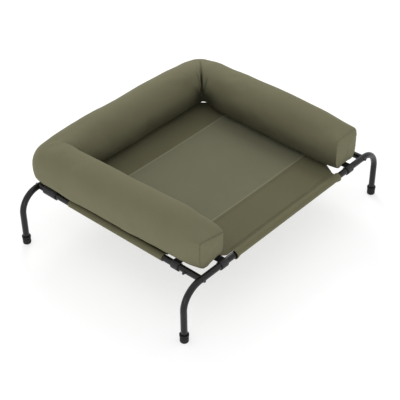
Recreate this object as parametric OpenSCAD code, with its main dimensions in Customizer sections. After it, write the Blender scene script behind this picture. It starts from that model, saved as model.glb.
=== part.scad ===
// Raised pet cot: a frame of bent tubes, a stretched sleeping sheet on the rails,
// and a padded U-shaped bolster that straps hold down and that lifts off upward.
// Millimetres. +Z is up, the floor is Z = 0, and the open side of the bolster faces -Y.

/* [Frame] */
// Distance between the axes of the left and right rails
rail_span_x = 855; // [700:5:1000]
// Distance between the axes of the front and back rails
rail_span_y = 740; // [640:5:900]
// Height of the rail axes above the floor
rail_z = 200; // [170:5:260]
// Outer diameter of every frame tube
tube_d = 22; // [20:0.5:25]
// Wall of every frame tube
tube_wall = 1.2; // [1:0.1:2]
// Centre-line radius of the bend in each leg
bend_r = 75; // [55:1:95]
// Straight length of a leg between the side rail's axis and its bend
leg_straight = 8; // [2:1:30]
// Length of a leg's level tube on the inner side of the side rail's axis
leg_inboard = 190; // [170:5:260]
// Length of the reduced rail end that slides into a leg
spigot_len = 60; // [30:5:90]
// Clearance round the reduced rail end
spigot_gap = 0.2; // [0.1:0.05:0.4]
// Clearance between the shaped end of a side rail and the leg it meets
saddle_gap = 0.1; // [0.05:0.05:0.3]

/* [Fasteners] */
// Diameter of the corner bolts
bolt_d = 6; // [5:0.5:8]
// Diameter of the corner bolts' heads
bolt_head_d = 12; // [10:0.5:14]
// How far a corner bolt's head stands out from the leg
bolt_head_h = 4; // [3:0.5:6]
// Thread engaged by a corner bolt in the rail's insert
bolt_grip = 30; // [18:1:34]
// Distance from the leg's axis to the screw that holds a rail's insert
insert_screw_at = 60; // [54:1:80]
// Length of the insert past its screw
insert_past_screw = 15; // [10:1:30]
// Clearance round an insert inside its rail
insert_gap = 0.1; // [0.05:0.05:0.3]
// Diameter of the insert screws
screw_d = 4; // [3:0.5:5]
// Diameter of the insert screws' heads
screw_head_d = 10; // [8:0.5:12]
// How far an insert screw's head stands out from the rail
screw_head_h = 8; // [3:0.5:10]
// Depth of the headless screws below the rail's surface
screw_sink = 0.6; // [0.3:0.1:1]
// Clearance round a bolt or screw in its hole
hole_gap = 0.2; // [0.1:0.05:0.4]

/* [Feet] */
// Diameter of a foot's body
foot_d = 29; // [27:0.5:36]
// Diameter of the rim at the top of a foot
foot_rim_d = 31; // [29:0.5:38]
// Height of a foot
foot_h = 32; // [24:1:45]
// Height of the rim at the top of a foot
foot_rim_h = 8; // [5:0.5:10]
// Solid floor of a foot below the tube's end
foot_floor = 6; // [4:0.5:10]
// Radius of a foot's bottom edge
foot_edge_r = 4; // [2:0.5:6]
// Depth of the groove below a foot's rim
foot_groove = 0.8; // [0.4:0.1:1.2]
// Clearance between a foot and its tube
foot_fit = 0.15; // [0.05:0.05:0.4]

/* [Sleeping sheet] */
// Thickness of the cloth and of the mesh
sheet_t = 1.5; // [1:0.1:2.5]
// Clearance between a sleeve and the tube inside it
sleeve_gap = 0.5; // [0.2:0.1:0.9]
// Distance from a corner, along the rails, to the end of each sleeve
sleeve_stop = 156; // [130:1:165]
// Distance from a rail's axis to the hem that closes its sleeve
hem_at = 18; // [16:1:30]
// Length of the front strip, from the rail's axis to the mesh
front_strip_len = 158; // [140:2:200]
// Length of the back strip, from the rail's axis to the mesh
back_strip_len = 180; // [165:5:220]
// Width of a side sleeve's flange, from the rail's axis to the sheet
flange_w = 46; // [45:1:60]
// Hollow of the free cloth edge at the front corners
cut_sag_front = 4; // [2:1:20]
// Hollow of the free cloth edge at the back corners
cut_sag_back = 6; // [4:1:30]

/* [Straps] */
// Width of a strap
strap_w = 30; // [24:1:36]
// Width of the broad straps at the back of the side rails
broad_strap_w = 62; // [40:1:66]
// Thickness of a wrapped strap
strap_t = 2; // [1.2:0.1:3]
// Clearance between a strap and its tube
strap_gap = 0.2; // [0.1:0.1:0.5]
// Length of a strap's tongue from the rail's axis
tongue_len = 48; // [46:1:60]
// Distance from the left corner to the front rail's left strap
front_left_strap_at = 98; // [65:1:120]
// Distance from the right corner to the front rail's right strap
front_right_strap_at = 87; // [65:1:120]
// Distance from the front corners to the side rails' straps
side_front_strap_at = 103; // [85:1:125]
// Distance from the back corners to the side rails' broad straps
side_back_strap_at = 62; // [60:1:100]
// Distance from the back corners to the back rail's straps
back_strap_at = 100; // [65:1:120]
// Thickness of the gripping pads under the bolster
pad_t = 1; // [0.6:0.1:2]
// Gap between a pad and the strap that it grips
grip_gap = 0.3; // [0.2:0.1:0.6]

/* [Bolster] */
// Width of the bolster across its widest level
bolster_w = 144; // [110:1:160]
// Height of the arms above the bolster's base
bolster_h = 148; // [110:1:180]
// Height of the widest level above the base
waist_h = 58; // [45:1:75]
// How far the middle of the back stands above the arms
back_crown = 12; // [0:1:30]
// How far the arms drop at their front ends
front_dip = 9; // [0:1:30]
// How far the top drops at the two corner seams
corner_dip = 12; // [0:1:25]
// Distance from the side rails to the middle of the arms
arm_in = 53; // [40:1:70]
// Distance from the back rail to the middle of the bolster's back
back_in = 25; // [15:1:50]
// How far each arm leans in from back to front
arm_toe = 19; // [0:1:30]
// Distance from the front rail's axis to the arms' ends
end_from_rail = 18; // [15:1:45]
// Width of an arm's end panel
end_w = 116; // [90:1:130]
// Height of an arm's end panel
end_h = 106; // [80:1:120]
// Length over which an arm closes down to its end panel
end_round = 80; // [35:1:100]
// How far an end panel swells out
end_swell = 6; // [2:1:12]
// Thickness of the bolster's cover
cover_t = 1.5; // [1:0.1:2.5]
// Gap between the cover and the filling
fill_gap = 0.4; // [0.2:0.1:0.8]
// Height of the sagging underside above the sheet
belly_gap = 0.6; // [0.4:0.1:2]

/* [Zip] */
// Length of the zip in the back of the cover
zip_len = 500; // [300:10:520]
// Width of the zip's tape
zip_w = 11; // [8:0.5:13]
// Thickness of the zip's tape and teeth
zip_t = 1.2; // [0.8:0.1:2]
// Length of the slider along the zip
slider_len = 12; // [10:0.5:16]
// Length of the pull below its pivot
pull_len = 24; // [16:1:32]
// Diameter of the bar that carries the pull
bail_d = 1.6; // [1.4:0.1:2]
// Running clearance of the slider and the pull
zip_clear = 0.3; // [0.2:0.05:0.4]

/* [Hidden] */

$fn = 64;
steel_black = "#2c2c2d";
rubber_black = "#1d1d1e";
strap_black = "#262627";
cloth_olive = "#6e6c51";
mesh_olive = "#646650";
fill_white = "#e9e7e0";
zinc_grey = "#8d8d8f";
nylon_grey = "#4a4a4c";
bolt_black = "#232325";

// Frame places. The whole part is centred on the floor between its front and back limits.
tube_r = tube_d / 2;
bore_r = tube_r - tube_wall;
front_reach = max(foot_rim_d / 2, tube_r + bolt_head_h);
back_reach = bolster_w / 2 - back_in;
y_shift = (front_reach - back_reach) / 2;
rail_x = rail_span_x / 2;
y_front = y_shift - rail_span_y / 2;
y_back = y_shift + rail_span_y / 2;
joint_x = rail_x - leg_inboard;
past = 1;

// Shares of a bolt's head: width at the crown, width and depth of the socket, and shank inside the head
head_crown = 0.8;
socket_width = 0.4;
socket_depth = 0.5;
head_shank = 0.3;
foot_edge_steps = 4;

// Inside of a sleeve: its round part, the point where its walls meet, and the sheet's start between there and the hem
sleeve_r = tube_r + sleeve_gap;
hem_inside = hem_at * sleeve_r / (sleeve_r + sheet_t);
sheet_from = (hem_inside + hem_at) / 2;
sleeve_steps = 40;

// Bolster places, from the stack of tube, strap, gap and pad that it rests on
strap_top = rail_z + tube_r + strap_gap + strap_t;
base_z = strap_top + grip_gap + pad_t;
belly_z = rail_z + sheet_t / 2 + belly_gap;
waist_z = base_z + waist_h;
base_tuck = 12;
half_w = bolster_w / 2;
arm_x = rail_x - arm_in;
back_y = y_back - back_in;
arm_len = back_y - (y_front + end_from_rail);
belly_from_rail = 33;
belly_ramp = 22;
belly_fade = 60;
belly_inside_cut = 10;
round_power_top = 2.2;
round_power_low = 2.6;
boxy_power_end = 2.4;
section_points = 24;
corner_rings = 4;
arm_rings = 8;
back_rings = 9;
ring_crowding = 1.5;
dip_power = 1.5;
panel_shares = [1, 0.85, 0.6, 0.3];
poke = 3;

// Frame tubes

module bar_x(r, x0, x1, y, z) {
    translate([x0, y, z]) rotate([0, 90, 0]) cylinder(r = r, h = x1 - x0);
}

module bar_y(r, x, y0, y1, z) {
    translate([x, y0, z]) rotate([-90, 0, 0]) cylinder(r = r, h = y1 - y0);
}

// Level stub, quarter bend and upright of a leg, about the side rail's axis at X = 0
module leg_path(r, extra) {
    upright_x = -leg_straight - bend_r;
    bar_x(r, -leg_straight, leg_inboard + extra, 0, rail_z);
    translate([-leg_straight, 0, rail_z - bend_r]) rotate([90, 0, 0]) rotate([0, 0, 90])
        rotate_extrude(angle = 90) translate([bend_r, 0]) circle(r = r);
    translate([upright_x, 0, foot_floor - extra])
        cylinder(r = r, h = rail_z - bend_r - foot_floor + extra);
}

module leg() {
    difference() {
        leg_path(tube_r, 0);
        leg_path(bore_r, past);
        bar_y(bolt_d / 2 + hole_gap, 0, -tube_d, tube_d, rail_z);
    }
}

// Puts a left-hand corner piece at a corner: side is -1 for left and 1 for right
module at_corner(side, y) {
    translate([side * rail_x, y, 0]) rotate([0, 0, side > 0 ? 180 : 0]) children();
}

module long_rail(y) {
    difference() {
        union() {
            bar_x(tube_r, -joint_x, joint_x, y, rail_z);
            bar_x(bore_r - spigot_gap, -joint_x - spigot_len, joint_x + spigot_len, y, rail_z);
        }
        bar_x(bore_r - spigot_gap - tube_wall, -joint_x - spigot_len - past,
            joint_x + spigot_len + past, y, rail_z);
    }
}

module side_rail(side) {
    x = side * rail_x;
    difference() {
        bar_y(tube_r, x, y_front, y_back, rail_z);
        bar_y(bore_r, x, y_front - past, y_back + past, rail_z);
        for (y = [y_front, y_back])
            bar_x(tube_r + saddle_gap, x - tube_d, x + tube_d, y, rail_z);
        for (y = [y_front + insert_screw_at, y_back - insert_screw_at])
            bar_x(screw_d / 2 + hole_gap, min(x, x + side * tube_d), max(x, x + side * tube_d), y, rail_z);
    }
}

// Domed head on the outside of a tube along X, cut to sit on it, with a hexagon socket.
// The bolt's axis is Y and its thread points to +Y.
module saddle_bolt(d, head_d, head_h, len) {
    socket_floor = -tube_r - head_h * (1 - socket_depth);
    difference() {
        union() {
            translate([0, -tube_r, 0]) rotate([90, 0, 0])
                cylinder(d1 = head_d, d2 = head_d * head_crown, h = head_h);
            bar_y(head_d / 2, 0, -tube_r, 0, 0);
        }
        bar_x(tube_r + saddle_gap / 2, -head_d, head_d, 0, 0);
        translate([0, socket_floor, 0]) rotate([90, 0, 0])
            cylinder(d = head_d * socket_width, h = head_h, $fn = 6);
    }
    bar_y(d / 2, 0, -tube_r - head_h * head_shank, len, 0);
}

module each_rail_end() {
    for (side = [-1, 1]) {
        translate([side * rail_x, y_front, rail_z]) children();
        translate([side * rail_x, y_back, rail_z]) rotate([0, 0, 180]) children();
    }
}

module corner_bolts() {
    color(bolt_black) each_rail_end() saddle_bolt(bolt_d, bolt_head_d, bolt_head_h, tube_r + bolt_grip);
}

// Plug with a tapped hole for the corner bolt and a cross hole for its own screw
module rail_inserts() {
    start = tube_r + past;
    tap_r = bolt_d / 2 + hole_gap / 2;
    cross_r = screw_d / 2 + hole_gap / 2;
    r = bore_r - insert_gap;
    color(nylon_grey) each_rail_end() difference() {
        bar_y(r, 0, start, insert_screw_at + insert_past_screw, 0);
        bar_y(tap_r, 0, start - past, tube_r + bolt_grip + past, 0);
        bar_x(cross_r, -tube_r, tube_r, insert_screw_at, 0);
    }
}

// The front ones have heads. The back ones lie under the broad straps, so they are headless and sunk in.
module insert_screws() {
    tip = bore_r / 2;
    color(bolt_black) for (side = [-1, 1]) {
        turn = side < 0 ? -90 : 90;
        translate([side * rail_x, y_front + insert_screw_at, rail_z]) rotate([0, 0, turn])
            saddle_bolt(screw_d, screw_head_d, screw_head_h, tip);
        translate([side * rail_x, y_back - insert_screw_at, rail_z]) rotate([0, 0, turn])
            bar_y(screw_d / 2, 0, -tube_r + screw_sink, tip, 0);
    }
}

module foot() {
    body_r = foot_d / 2;
    rim_r = foot_rim_d / 2;
    socket_r = tube_r + foot_fit;
    rim_z = foot_h - foot_rim_h;
    edge = [for (k = [0:foot_edge_steps]) let (a = 90 * k / foot_edge_steps)
        [body_r - foot_edge_r + foot_edge_r * sin(a), foot_edge_r - foot_edge_r * cos(a)]];
    outline = concat([[0, 0]], edge, [
        [body_r, rim_z - 2 * foot_groove],
        [body_r - foot_groove, rim_z - foot_groove], [body_r - foot_groove, rim_z],
        [rim_r, rim_z + foot_groove], [rim_r, foot_h - foot_groove], [rim_r - foot_groove, foot_h],
        [socket_r, foot_h], [socket_r, foot_floor], [0, foot_floor]]);
    rotate_extrude() polygon(outline);
}

module foot_at(side, y) {
    color(rubber_black) translate([side * (rail_x + leg_straight + bend_r), y, 0]) foot();
}

// Sleeping sheet

// Round cut at a corner: it passes the sleeves' ends at a distance inside the rails' axes,
// and bulges by sag into the sheet
module corner_cut(sag, inside) {
    half_chord = (sleeve_stop - inside) / sqrt(2);
    r = (half_chord * half_chord + sag * sag) / (2 * sag);
    centre = (sleeve_stop + inside) / sqrt(2) + sag - r;
    translate([centre / sqrt(2), centre / sqrt(2)]) circle(r = r, $fn = 180);
}

// Plan of the whole sheet between the sleeves, cut at its corners
module sheet_plan() {
    difference() {
        translate([-rail_x + sheet_from, y_front + sheet_from])
            square([rail_span_x - 2 * sheet_from, rail_span_y - 2 * sheet_from]);
        for (side = [-1, 1]) {
            translate([side * rail_x, y_front]) mirror([side > 0 ? 1 : 0, 0])
                corner_cut(cut_sag_front, hem_inside / 2);
            translate([side * rail_x, y_back]) mirror([side > 0 ? 1 : 0, 0]) mirror([0, 1])
                corner_cut(cut_sag_back, 0);
        }
    }
}

// Part of the sheet between two corners of its plan
module sheet_piece(low, high) {
    translate([0, 0, rail_z - sheet_t / 2]) linear_extrude(sheet_t) intersection() {
        sheet_plan();
        translate(low) square(high - low);
    }
}

// Section of a sleeve: round about the tube, and closing in two straight walls to its hem on the +X side
function sleeve_outline(r, hem) = let (a = acos(r / hem))
    concat([[hem, 0]], [for (k = [0:sleeve_steps])
        let (t = a + (360 - 2 * a) * k / sleeve_steps) [r * cos(t), r * sin(t)]]);

// Sleeve along X with its hem to +Y, turned about Z
module sleeve(len, turn) {
    rotate([0, 0, turn]) rotate([90, 0, 90]) linear_extrude(len, center = true) difference() {
        polygon(sleeve_outline(sleeve_r + sheet_t, hem_at));
        polygon(sleeve_outline(sleeve_r, hem_inside));
    }
}

seam_x = rail_x - flange_w;

module front_strip() {
    color(cloth_olive) {
        translate([0, y_front, rail_z]) sleeve(rail_span_x - 2 * sleeve_stop, 0);
        sheet_piece([-seam_x, y_front], [seam_x, y_front + front_strip_len]);
    }
}

module back_strip() {
    color(cloth_olive) {
        translate([0, y_back, rail_z]) sleeve(rail_span_x - 2 * sleeve_stop, 180);
        sheet_piece([-seam_x, y_back - back_strip_len], [seam_x, y_back]);
    }
}

module mesh_panel() {
    color(mesh_olive)
        sheet_piece([-seam_x, y_front + front_strip_len], [seam_x, y_back - back_strip_len]);
}

module side_sleeve(side) {
    inner = side * seam_x;
    outer = side * rail_x;
    color(cloth_olive) {
        translate([outer, y_shift, rail_z]) sleeve(rail_span_y - 2 * sleeve_stop, side * 90);
        sheet_piece([min(inner, outer), y_front + sleeve_stop], [max(inner, outer), y_back - sleeve_stop]);
    }
}

// Straps: each one is wrapped round a tube and ends in a flat tongue under the bolster.
// The tube lies along X here, at the origin, and the tongue points to +Y.
module strap(w) {
    r = tube_r + strap_gap;
    color(strap_black) difference() {
        union() {
            bar_x(r + strap_t, -w / 2, w / 2, 0, 0);
            translate([-w / 2, 0, r]) cube([w, tongue_len, strap_t]);
        }
        bar_x(r, -w / 2 - past, w / 2 + past, 0, 0);
    }
}

// Places of the straps: point on the rail, turn and width, in the order of their node names
strap_places = [
    [[-rail_x + front_left_strap_at, y_front], 0, strap_w],
    [[rail_x - front_right_strap_at, y_front], 0, strap_w],
    [[-rail_x, y_front + side_front_strap_at], -90, strap_w],
    [[-rail_x, y_back - side_back_strap_at], -90, broad_strap_w],
    [[rail_x, y_front + side_front_strap_at], 90, strap_w],
    [[rail_x, y_back - side_back_strap_at], 90, broad_strap_w],
    [[-rail_x + back_strap_at, y_back], 180, strap_w],
    [[rail_x - back_strap_at, y_back], 180, strap_w]];

module at_strap(k) {
    place = strap_places[k];
    translate([place[0].x, place[0].y, rail_z]) rotate([0, 0, place[1]]) children();
}

module strap_at(k) {
    at_strap(k) strap(strap_places[k][2]);
}

// Gripping pads, sewn under the bolster over the tongues. The front ones begin under the arm's end.
module strap_pads() {
    side_margin = 2;
    tip_margin = 3;
    color(strap_black) for (k = [0:len(strap_places) - 1]) {
        w = strap_places[k][2] - 2 * side_margin;
        start = k < 2 ? end_from_rail + tip_margin : 2 * tip_margin;
        at_strap(k) translate([-w / 2, start, base_z - pad_t - rail_z])
            cube([w, tongue_len - tip_margin - start, pad_t]);
    }
}

// Bolster: a soft section carried round three sides.
// In a run, u is the distance from the corner's centre and q the distance inward from the middle line.

function power(v, n) = sign(v) * pow(abs(v), 2 / n);
function clamp01(v) = min(1, max(0, v));
function smooth(v) = let (c = clamp01(v)) c * c * (3 - 2 * c);

// Underside at q: flat over the rail, and lower past it by the share belly where the sheet lies below
function underside(q, in_rail, belly) =
    base_z - (base_z - belly_z) * belly * smooth((q + in_rail - belly_from_rail) / belly_ramp);

// Point [q, z] of the section at angle t.
// A section is [half width, top, extra power, rail inset, belly, wall].
function section_point(s, t) =
    let (up = sin(t) > 0, wall = s[5],
        n = (up ? round_power_top : round_power_low) + s[2],
        reach_z = up ? s[1] - wall - waist_z : waist_z - base_z + base_tuck - wall,
        q = (s[0] - wall) * power(cos(t), n),
        z = waist_z + reach_z * power(sin(t), n))
    [q, max(z, underside(q, s[3], s[4]) + wall)];

function section_ring(s) = [for (k = [0:section_points - 1]) section_point(s, 360 * k / section_points)];

// Place [u, q] in the corner for a point at offset q: f runs from 0 at the straight to 1 at the seam.
// Inner points run straight to the seam, and outer ones turn about the corner's centre.
function corner_uq(q, f) =
    let (arc = max(-q, 0), run = f * (half_w - max(q, 0) + arc * PI / 4))
    run <= half_w ? [half_w - run, q]
        : let (a = (run - half_w) / arc * 180 / PI) [-arc * sin(a), -arc * cos(a)];

function corner_top(f) = base_z + bolster_h - corner_dip * f * f;

// Rings of a corner from the seam to the straight, as [u, q, z]
function corner_run(wall, in_rail) = [for (k = [0:corner_rings - 1])
    let (f = 1 - k / corner_rings)
    [for (p = section_ring([half_w, corner_top(f), 0, in_rail, 0, wall]))
        let (c = corner_uq(p[0], f)) [c[0], c[1], p[1]]]];

// Rings of an arm's straight, from the corner to its end
function arm_run(wall) = [for (k = [0:arm_rings])
    let (f = 1 - pow(1 - k / arm_rings, ring_crowding),
        u = half_w + (arm_len - half_w) * f,
        ease = 1 - clamp01((arm_len - u) / end_round),
        grow = 1 - ease * ease,
        y = back_y - u,
        belly = smooth((rail_span_y / 2 - sleeve_stop - belly_inside_cut - abs(y - y_shift)) / belly_fade),
        top = base_z + bolster_h - front_dip * pow(f, dip_power),
        end_top = base_z + end_h,
        s = [end_w / 2 + (half_w - end_w / 2) * grow, end_top + (top - end_top) * grow,
            boxy_power_end * (1 - grow), arm_in, belly, wall])
    [for (p = section_ring(s)) [u, p[0] + arm_toe * f, p[1]]]];

// Rings of the back's straight, left to right, as points
function back_run(wall) = [for (k = [0:back_rings])
    let (x = (2 * k / back_rings - 1) * (arm_x - half_w),
        belly = smooth((rail_x - sleeve_stop - belly_inside_cut - abs(x)) / belly_fade),
        share = abs(x) / (arm_x - half_w),
        top = base_z + bolster_h + back_crown * (1 - share * share))
    [for (p = section_ring([half_w, top, 0, back_in, belly, wall])) [x, back_y - p[0], p[1]]]];

// A run carried past its seam or its end by a distance, or cut back where the distance is negative
function past_seam(run, e) =
    let (d = e / sqrt(2), moved = [for (p = run[0]) [p[0] - d, p[1] + d, p[2]]])
    concat([moved], e > 0 ? [run[0]] : [], [for (k = [1:len(run) - 1]) run[k]]);
function past_end(run, e) =
    let (last = len(run) - 1, moved = [for (p = run[last]) [p[0] + e, p[1], p[2]]])
    concat([for (k = [0:last - 1]) run[k]], e > 0 ? [run[last]] : [], [moved]);

function as_arm(rings) = [for (r = rings) [for (p = r) [p[1] - arm_x, back_y - p[0], p[2]]]];
function as_back(rings, side) = [for (r = rings)
    [for (p = r) [side * (arm_x - p[0]), back_y - p[1], p[2]]]];
function reversed(list) = [for (k = [len(list) - 1:-1:0]) list[k]];
function middle(ring) = let (n = len(ring), share = [for (p = ring) 1 / n])
    [for (c = [0:2]) [for (p = ring) p[c]] * share];

// Closed solid through a row of rings, each capped from its middle. turn is 1 or -1 for the facing.
module loft(rings, turn) {
    n = len(rings[0]);
    last = len(rings) - 1;
    points = concat([for (r = rings) each r], [middle(rings[0]), middle(rings[last])]);
    hub = n * (last + 1);
    sides = [for (k = [0:last - 1], j = [0:n - 1])
        let (a = k * n + j, b = k * n + (j + 1) % n) each [[a, b, b + n], [a, b + n, a + n]]];
    caps = [for (j = [0:n - 1])
        let (b = (j + 1) % n) each [[hub, b, j], [hub + 1, last * n + j, last * n + b]]];
    faces = concat(sides, caps);
    polyhedron(points, turn > 0 ? faces : [for (f = faces) reversed(f)]);
}

// An arm and the back as solids inside a wall, carried past their seams and ends by a distance
module arm_solid(wall, extra) {
    loft(as_arm(concat(past_seam(corner_run(wall, arm_in), extra), past_end(arm_run(wall), extra))), -1);
}

module back_solid(wall, extra) {
    corner = past_seam(corner_run(wall, back_in), extra);
    loft(concat(as_back(corner, -1), back_run(wall), reversed(as_back(corner, 1))), 1);
}

module arm_cover() {
    color(cloth_olive) difference() {
        arm_solid(0, 0);
        arm_solid(cover_t, poke);
    }
}

module bolster_back() {
    color(cloth_olive) difference() {
        back_solid(0, 0);
        back_solid(cover_t, poke);
    }
}

module arm_fill() {
    color(fill_white) arm_solid(cover_t + fill_gap, -fill_gap);
}

module fill_back() {
    color(fill_white) back_solid(cover_t + fill_gap, -fill_gap);
}

// Panel that closes an arm: a flat rim the thickness of the cover, swelling to its middle
module end_panel() {
    ring = as_arm([arm_run(0)[arm_rings]])[0];
    hub = middle(ring);
    function swelled(f) = [for (p = ring)
        [hub.x + (p.x - hub.x) * f, p.y - cover_t - end_swell * (1 - f * f), hub.z + (p.z - hub.z) * f]];
    color(cloth_olive) loft(concat([ring], [for (f = panel_shares) swelled(f)]), -1);
}

// Zip on the flat of the cover's lower back wall, between two points of the section
zip_low_turn = 210;
zip_high_turn = 195;
zip_low = section_point([half_w, base_z + bolster_h, 0, back_in, 0, 0], zip_low_turn);
zip_high = section_point([half_w, base_z + bolster_h, 0, back_in, 0, 0], zip_high_turn);
zip_lean = atan2(zip_low[0] - zip_high[0], zip_high[1] - zip_low[1]);
slider_t = 2.6;
slider_margin = 2;
post_t = 1.2;
post_gap = 3.6;
bail_stand = 2.4;
bail_out = zip_t + zip_clear + slider_t + bail_stand;
eye_t = 1;
pull_w = 5;
pull_t = 1.4;

// Frame of the zip: X along it, Y out of the cover, Z up its slope, at the middle of the flat
module on_zip() {
    translate([0, back_y - (zip_low[0] + zip_high[0]) / 2, (zip_low[1] + zip_high[1]) / 2])
        rotate([-zip_lean, 0, 0]) children();
}

slider_x = zip_len / 2 - slider_len;

module zip_tape() {
    color(strap_black) on_zip() translate([-zip_len / 2, 0, -zip_w / 2]) cube([zip_len, zip_t, zip_w]);
}

module zip_slider() {
    face = zip_t + zip_clear;
    tall = zip_w - 2 * slider_margin;
    color(zinc_grey) on_zip() translate([slider_x, 0, 0]) {
        translate([-slider_len / 2, face, -tall / 2]) cube([slider_len, slider_t, tall]);
        for (side = [-1, 1])
            translate([side * (post_gap + post_t) / 2 - post_t / 2, face + slider_t, -bail_d / 2])
                cube([post_t, bail_out - face - slider_t + bail_d / 2, bail_d]);
        bar_x(bail_d / 2, -post_gap / 2, post_gap / 2, bail_out, 0);
    }
}

// The pull hangs straight down from the bail
module zip_pull() {
    eye_r = bail_d / 2 + zip_clear + eye_t;
    eye_w = post_gap - 2 * zip_clear;
    color(zinc_grey) on_zip() translate([slider_x, bail_out, 0]) rotate([zip_lean, 0, 0]) difference() {
        union() {
            bar_x(eye_r, -eye_w / 2, eye_w / 2, 0, 0);
            translate([-eye_w / 2, -pull_t / 2, -eye_r - eye_t]) cube([eye_w, pull_t, eye_r + eye_t]);
            translate([-pull_w / 2, -pull_t / 2, -pull_len]) cube([pull_w, pull_t, pull_len - eye_r]);
        }
        bar_x(bail_d / 2 + zip_clear, -eye_w, eye_w, 0, 0);
    }
}

color(steel_black) at_corner(-1, y_front) leg();  // leg_front_left
color(steel_black) at_corner(1, y_front) leg();  // leg_front_right
color(steel_black) at_corner(-1, y_back) leg();  // leg_back_left
color(steel_black) at_corner(1, y_back) leg();  // leg_back_right
foot_at(-1, y_front);  // foot_front_left
foot_at(1, y_front);  // foot_front_right
foot_at(-1, y_back);  // foot_back_left
foot_at(1, y_back);  // foot_back_right
color(steel_black) long_rail(y_front);  // front_rail
color(steel_black) long_rail(y_back);  // back_rail
color(steel_black) side_rail(-1);  // left_rail
color(steel_black) side_rail(1);  // right_rail
corner_bolts();
rail_inserts();
insert_screws();
front_strip();
back_strip();
mesh_panel();
side_sleeve(-1);  // left_sleeve
side_sleeve(1);  // right_sleeve
strap_at(0);  // strap_front_left
strap_at(1);  // strap_front_right
strap_at(2);  // strap_left_front
strap_at(3);  // strap_left_back
strap_at(4);  // strap_right_front
strap_at(5);  // strap_right_back
strap_at(6);  // strap_back_left
strap_at(7);  // strap_back_right
arm_cover();  // bolster_left
bolster_back();
mirror([1, 0, 0]) arm_cover();  // bolster_right
end_panel();  // end_panel_left
mirror([1, 0, 0]) end_panel();  // end_panel_right
arm_fill();  // fill_left
fill_back();
mirror([1, 0, 0]) arm_fill();  // fill_right
strap_pads();
zip_tape();
zip_slider();
zip_pull();
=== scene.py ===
"""Raised cot dressed for looks: padded bolster, stretched bed, straps, zip and the frame's finishes."""

import math

import bpy
import numpy as np
from mathutils import Matrix, Vector


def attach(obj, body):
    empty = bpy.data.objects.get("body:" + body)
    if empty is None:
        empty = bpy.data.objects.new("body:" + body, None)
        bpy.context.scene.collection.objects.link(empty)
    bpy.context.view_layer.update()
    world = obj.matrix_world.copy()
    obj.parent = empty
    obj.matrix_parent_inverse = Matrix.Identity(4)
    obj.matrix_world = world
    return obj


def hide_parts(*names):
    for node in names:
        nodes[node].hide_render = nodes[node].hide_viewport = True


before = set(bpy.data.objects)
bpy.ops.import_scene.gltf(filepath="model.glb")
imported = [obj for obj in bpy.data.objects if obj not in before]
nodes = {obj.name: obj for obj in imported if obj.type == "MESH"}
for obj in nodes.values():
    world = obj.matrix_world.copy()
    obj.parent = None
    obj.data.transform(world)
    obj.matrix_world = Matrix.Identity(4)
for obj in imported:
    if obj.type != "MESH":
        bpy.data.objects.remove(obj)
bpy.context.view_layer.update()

# Frame places, in metres
RAIL_X = 0.4275
FRONT_Y = -0.38575
BACK_Y = 0.35425
MIDDLE_Y = (FRONT_Y + BACK_Y) / 2
RAIL_Z = 0.2
TUBE_R = 0.011

# Bolster sizes, the same as those of the solids
BASE_Z = 0.2145
WAIST_Z = 0.2725
BELLY_Z = 0.20135
HEIGHT = 0.148
HALF_W = 0.072
ARM_X = 0.3745
ARM_IN = 0.053
SPINE_Y = 0.32925
BACK_IN = 0.025
ARM_LEN = 0.697
STRAIGHT = ARM_LEN - HALF_W
BACK_HALF = ARM_X - HALF_W
UPPER_POWER = 2.2
LOWER_POWER = 2.6
LOW_FULL = 0.8
END_BOXED = 0.020
BASE_TUCK = 0.012
BACK_CROWN = 0.009
LEFT_CROWN = 0.004
# Each corner's dip on its outside and on its inside, and how far the arm starts below the full height
CORNER_DIP = {-1: (0.012, 0.0, 0.0), 1: (0.017, 0.010, 0.003)}
CORNER_LIFT = 0.012
HOLLOW_LIFT = 0.010
END_ROUND = 0.080
NEAR_CORNER = 0.075
END_SWELL = 0.006
# Each arm's drift inward, rise of its crest, place where the crest starts to fall, half width, height and
# tilt of its panel, boxiness of the panel's top, lift of the panel's inner underside (where it starts, its
# run and its size), and sag of its outer underside (the same three)
ARM_ENDS = {
    -1: (0.0160, -0.004, 0.62, 0.0557, 0.3100, -0.185, 9.0, (0.014, 0.034, 0.006), (0.016, 0.02, 0.007)),
    1: (0.0275, 0.0065, 0.60, 0.0590, 0.3335, 0.0, 3.6, (0.046, 0.016, -0.008), (0.014, 0.02, 0.004))}
SINK = 0.008
BELLY_FROM = 0.033
BELLY_RAMP = 0.022
BELLY_FADE = 0.060
SOFT_EDGE = 0.007
# Painted shade on the cover: how dark its inner side gets towards its foot, beside the inner corner seams, and
# in the fold valleys
FOOT_PAINTED_SHADE = 0.68
CORNER_PAINTED_SHADE = 0.65
CREASE_PAINTED_SHADE = 0.60
# Folds beside the inner corner seams: reach from the seam, height out of the cover, width, and the shares of
# the cover's height between which each runs
BACK_FOLDS = (
    (0.019, -0.0046, 0.0021, 0.30, 1.02), (0.0085, -0.0022, 0.0018, 0.62, 0.99),
    (0.0135, 0.0018, 0.0026, 0.40, 1.0), (0.029, 0.0020, 0.0055, 0.20, 0.95),
    (0.060, -0.0018, 0.0080, 0.06, 0.75))
ARM_FOLDS = (
    (0.027, -0.0030, 0.0040, 0.12, 0.90), (0.014, 0.0014, 0.0028, 0.20, 0.85),
    (0.050, 0.0018, 0.0070, 0.10, 0.85))
FOLD_BASE = 0.215
FOLD_SPAN = 0.14
# How strong the folds are at each corner
FOLD_SHARE = {-1: 0.15, 1: 1.0}
# Depth of the corner seams and rise of the bunch at their feet, and sizes of the other shapes out of the cover
SEAM_DEPTH = 0.0028
FOOT_BUNCH = 0.0158
DENT = -0.0009
GATHER = -0.0011
RIM_GROOVE = -0.0013
PUCKER = 0.0007
# Places along the run of the cover: the length given to half a corner and to a panel, and to a corner's rows
CORNER_RUN = 0.1
PANEL_RUN = 0.06
CORNER_ARC = 0.128
# Length of the cover's outline, for its map
ROUND = 0.49

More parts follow.
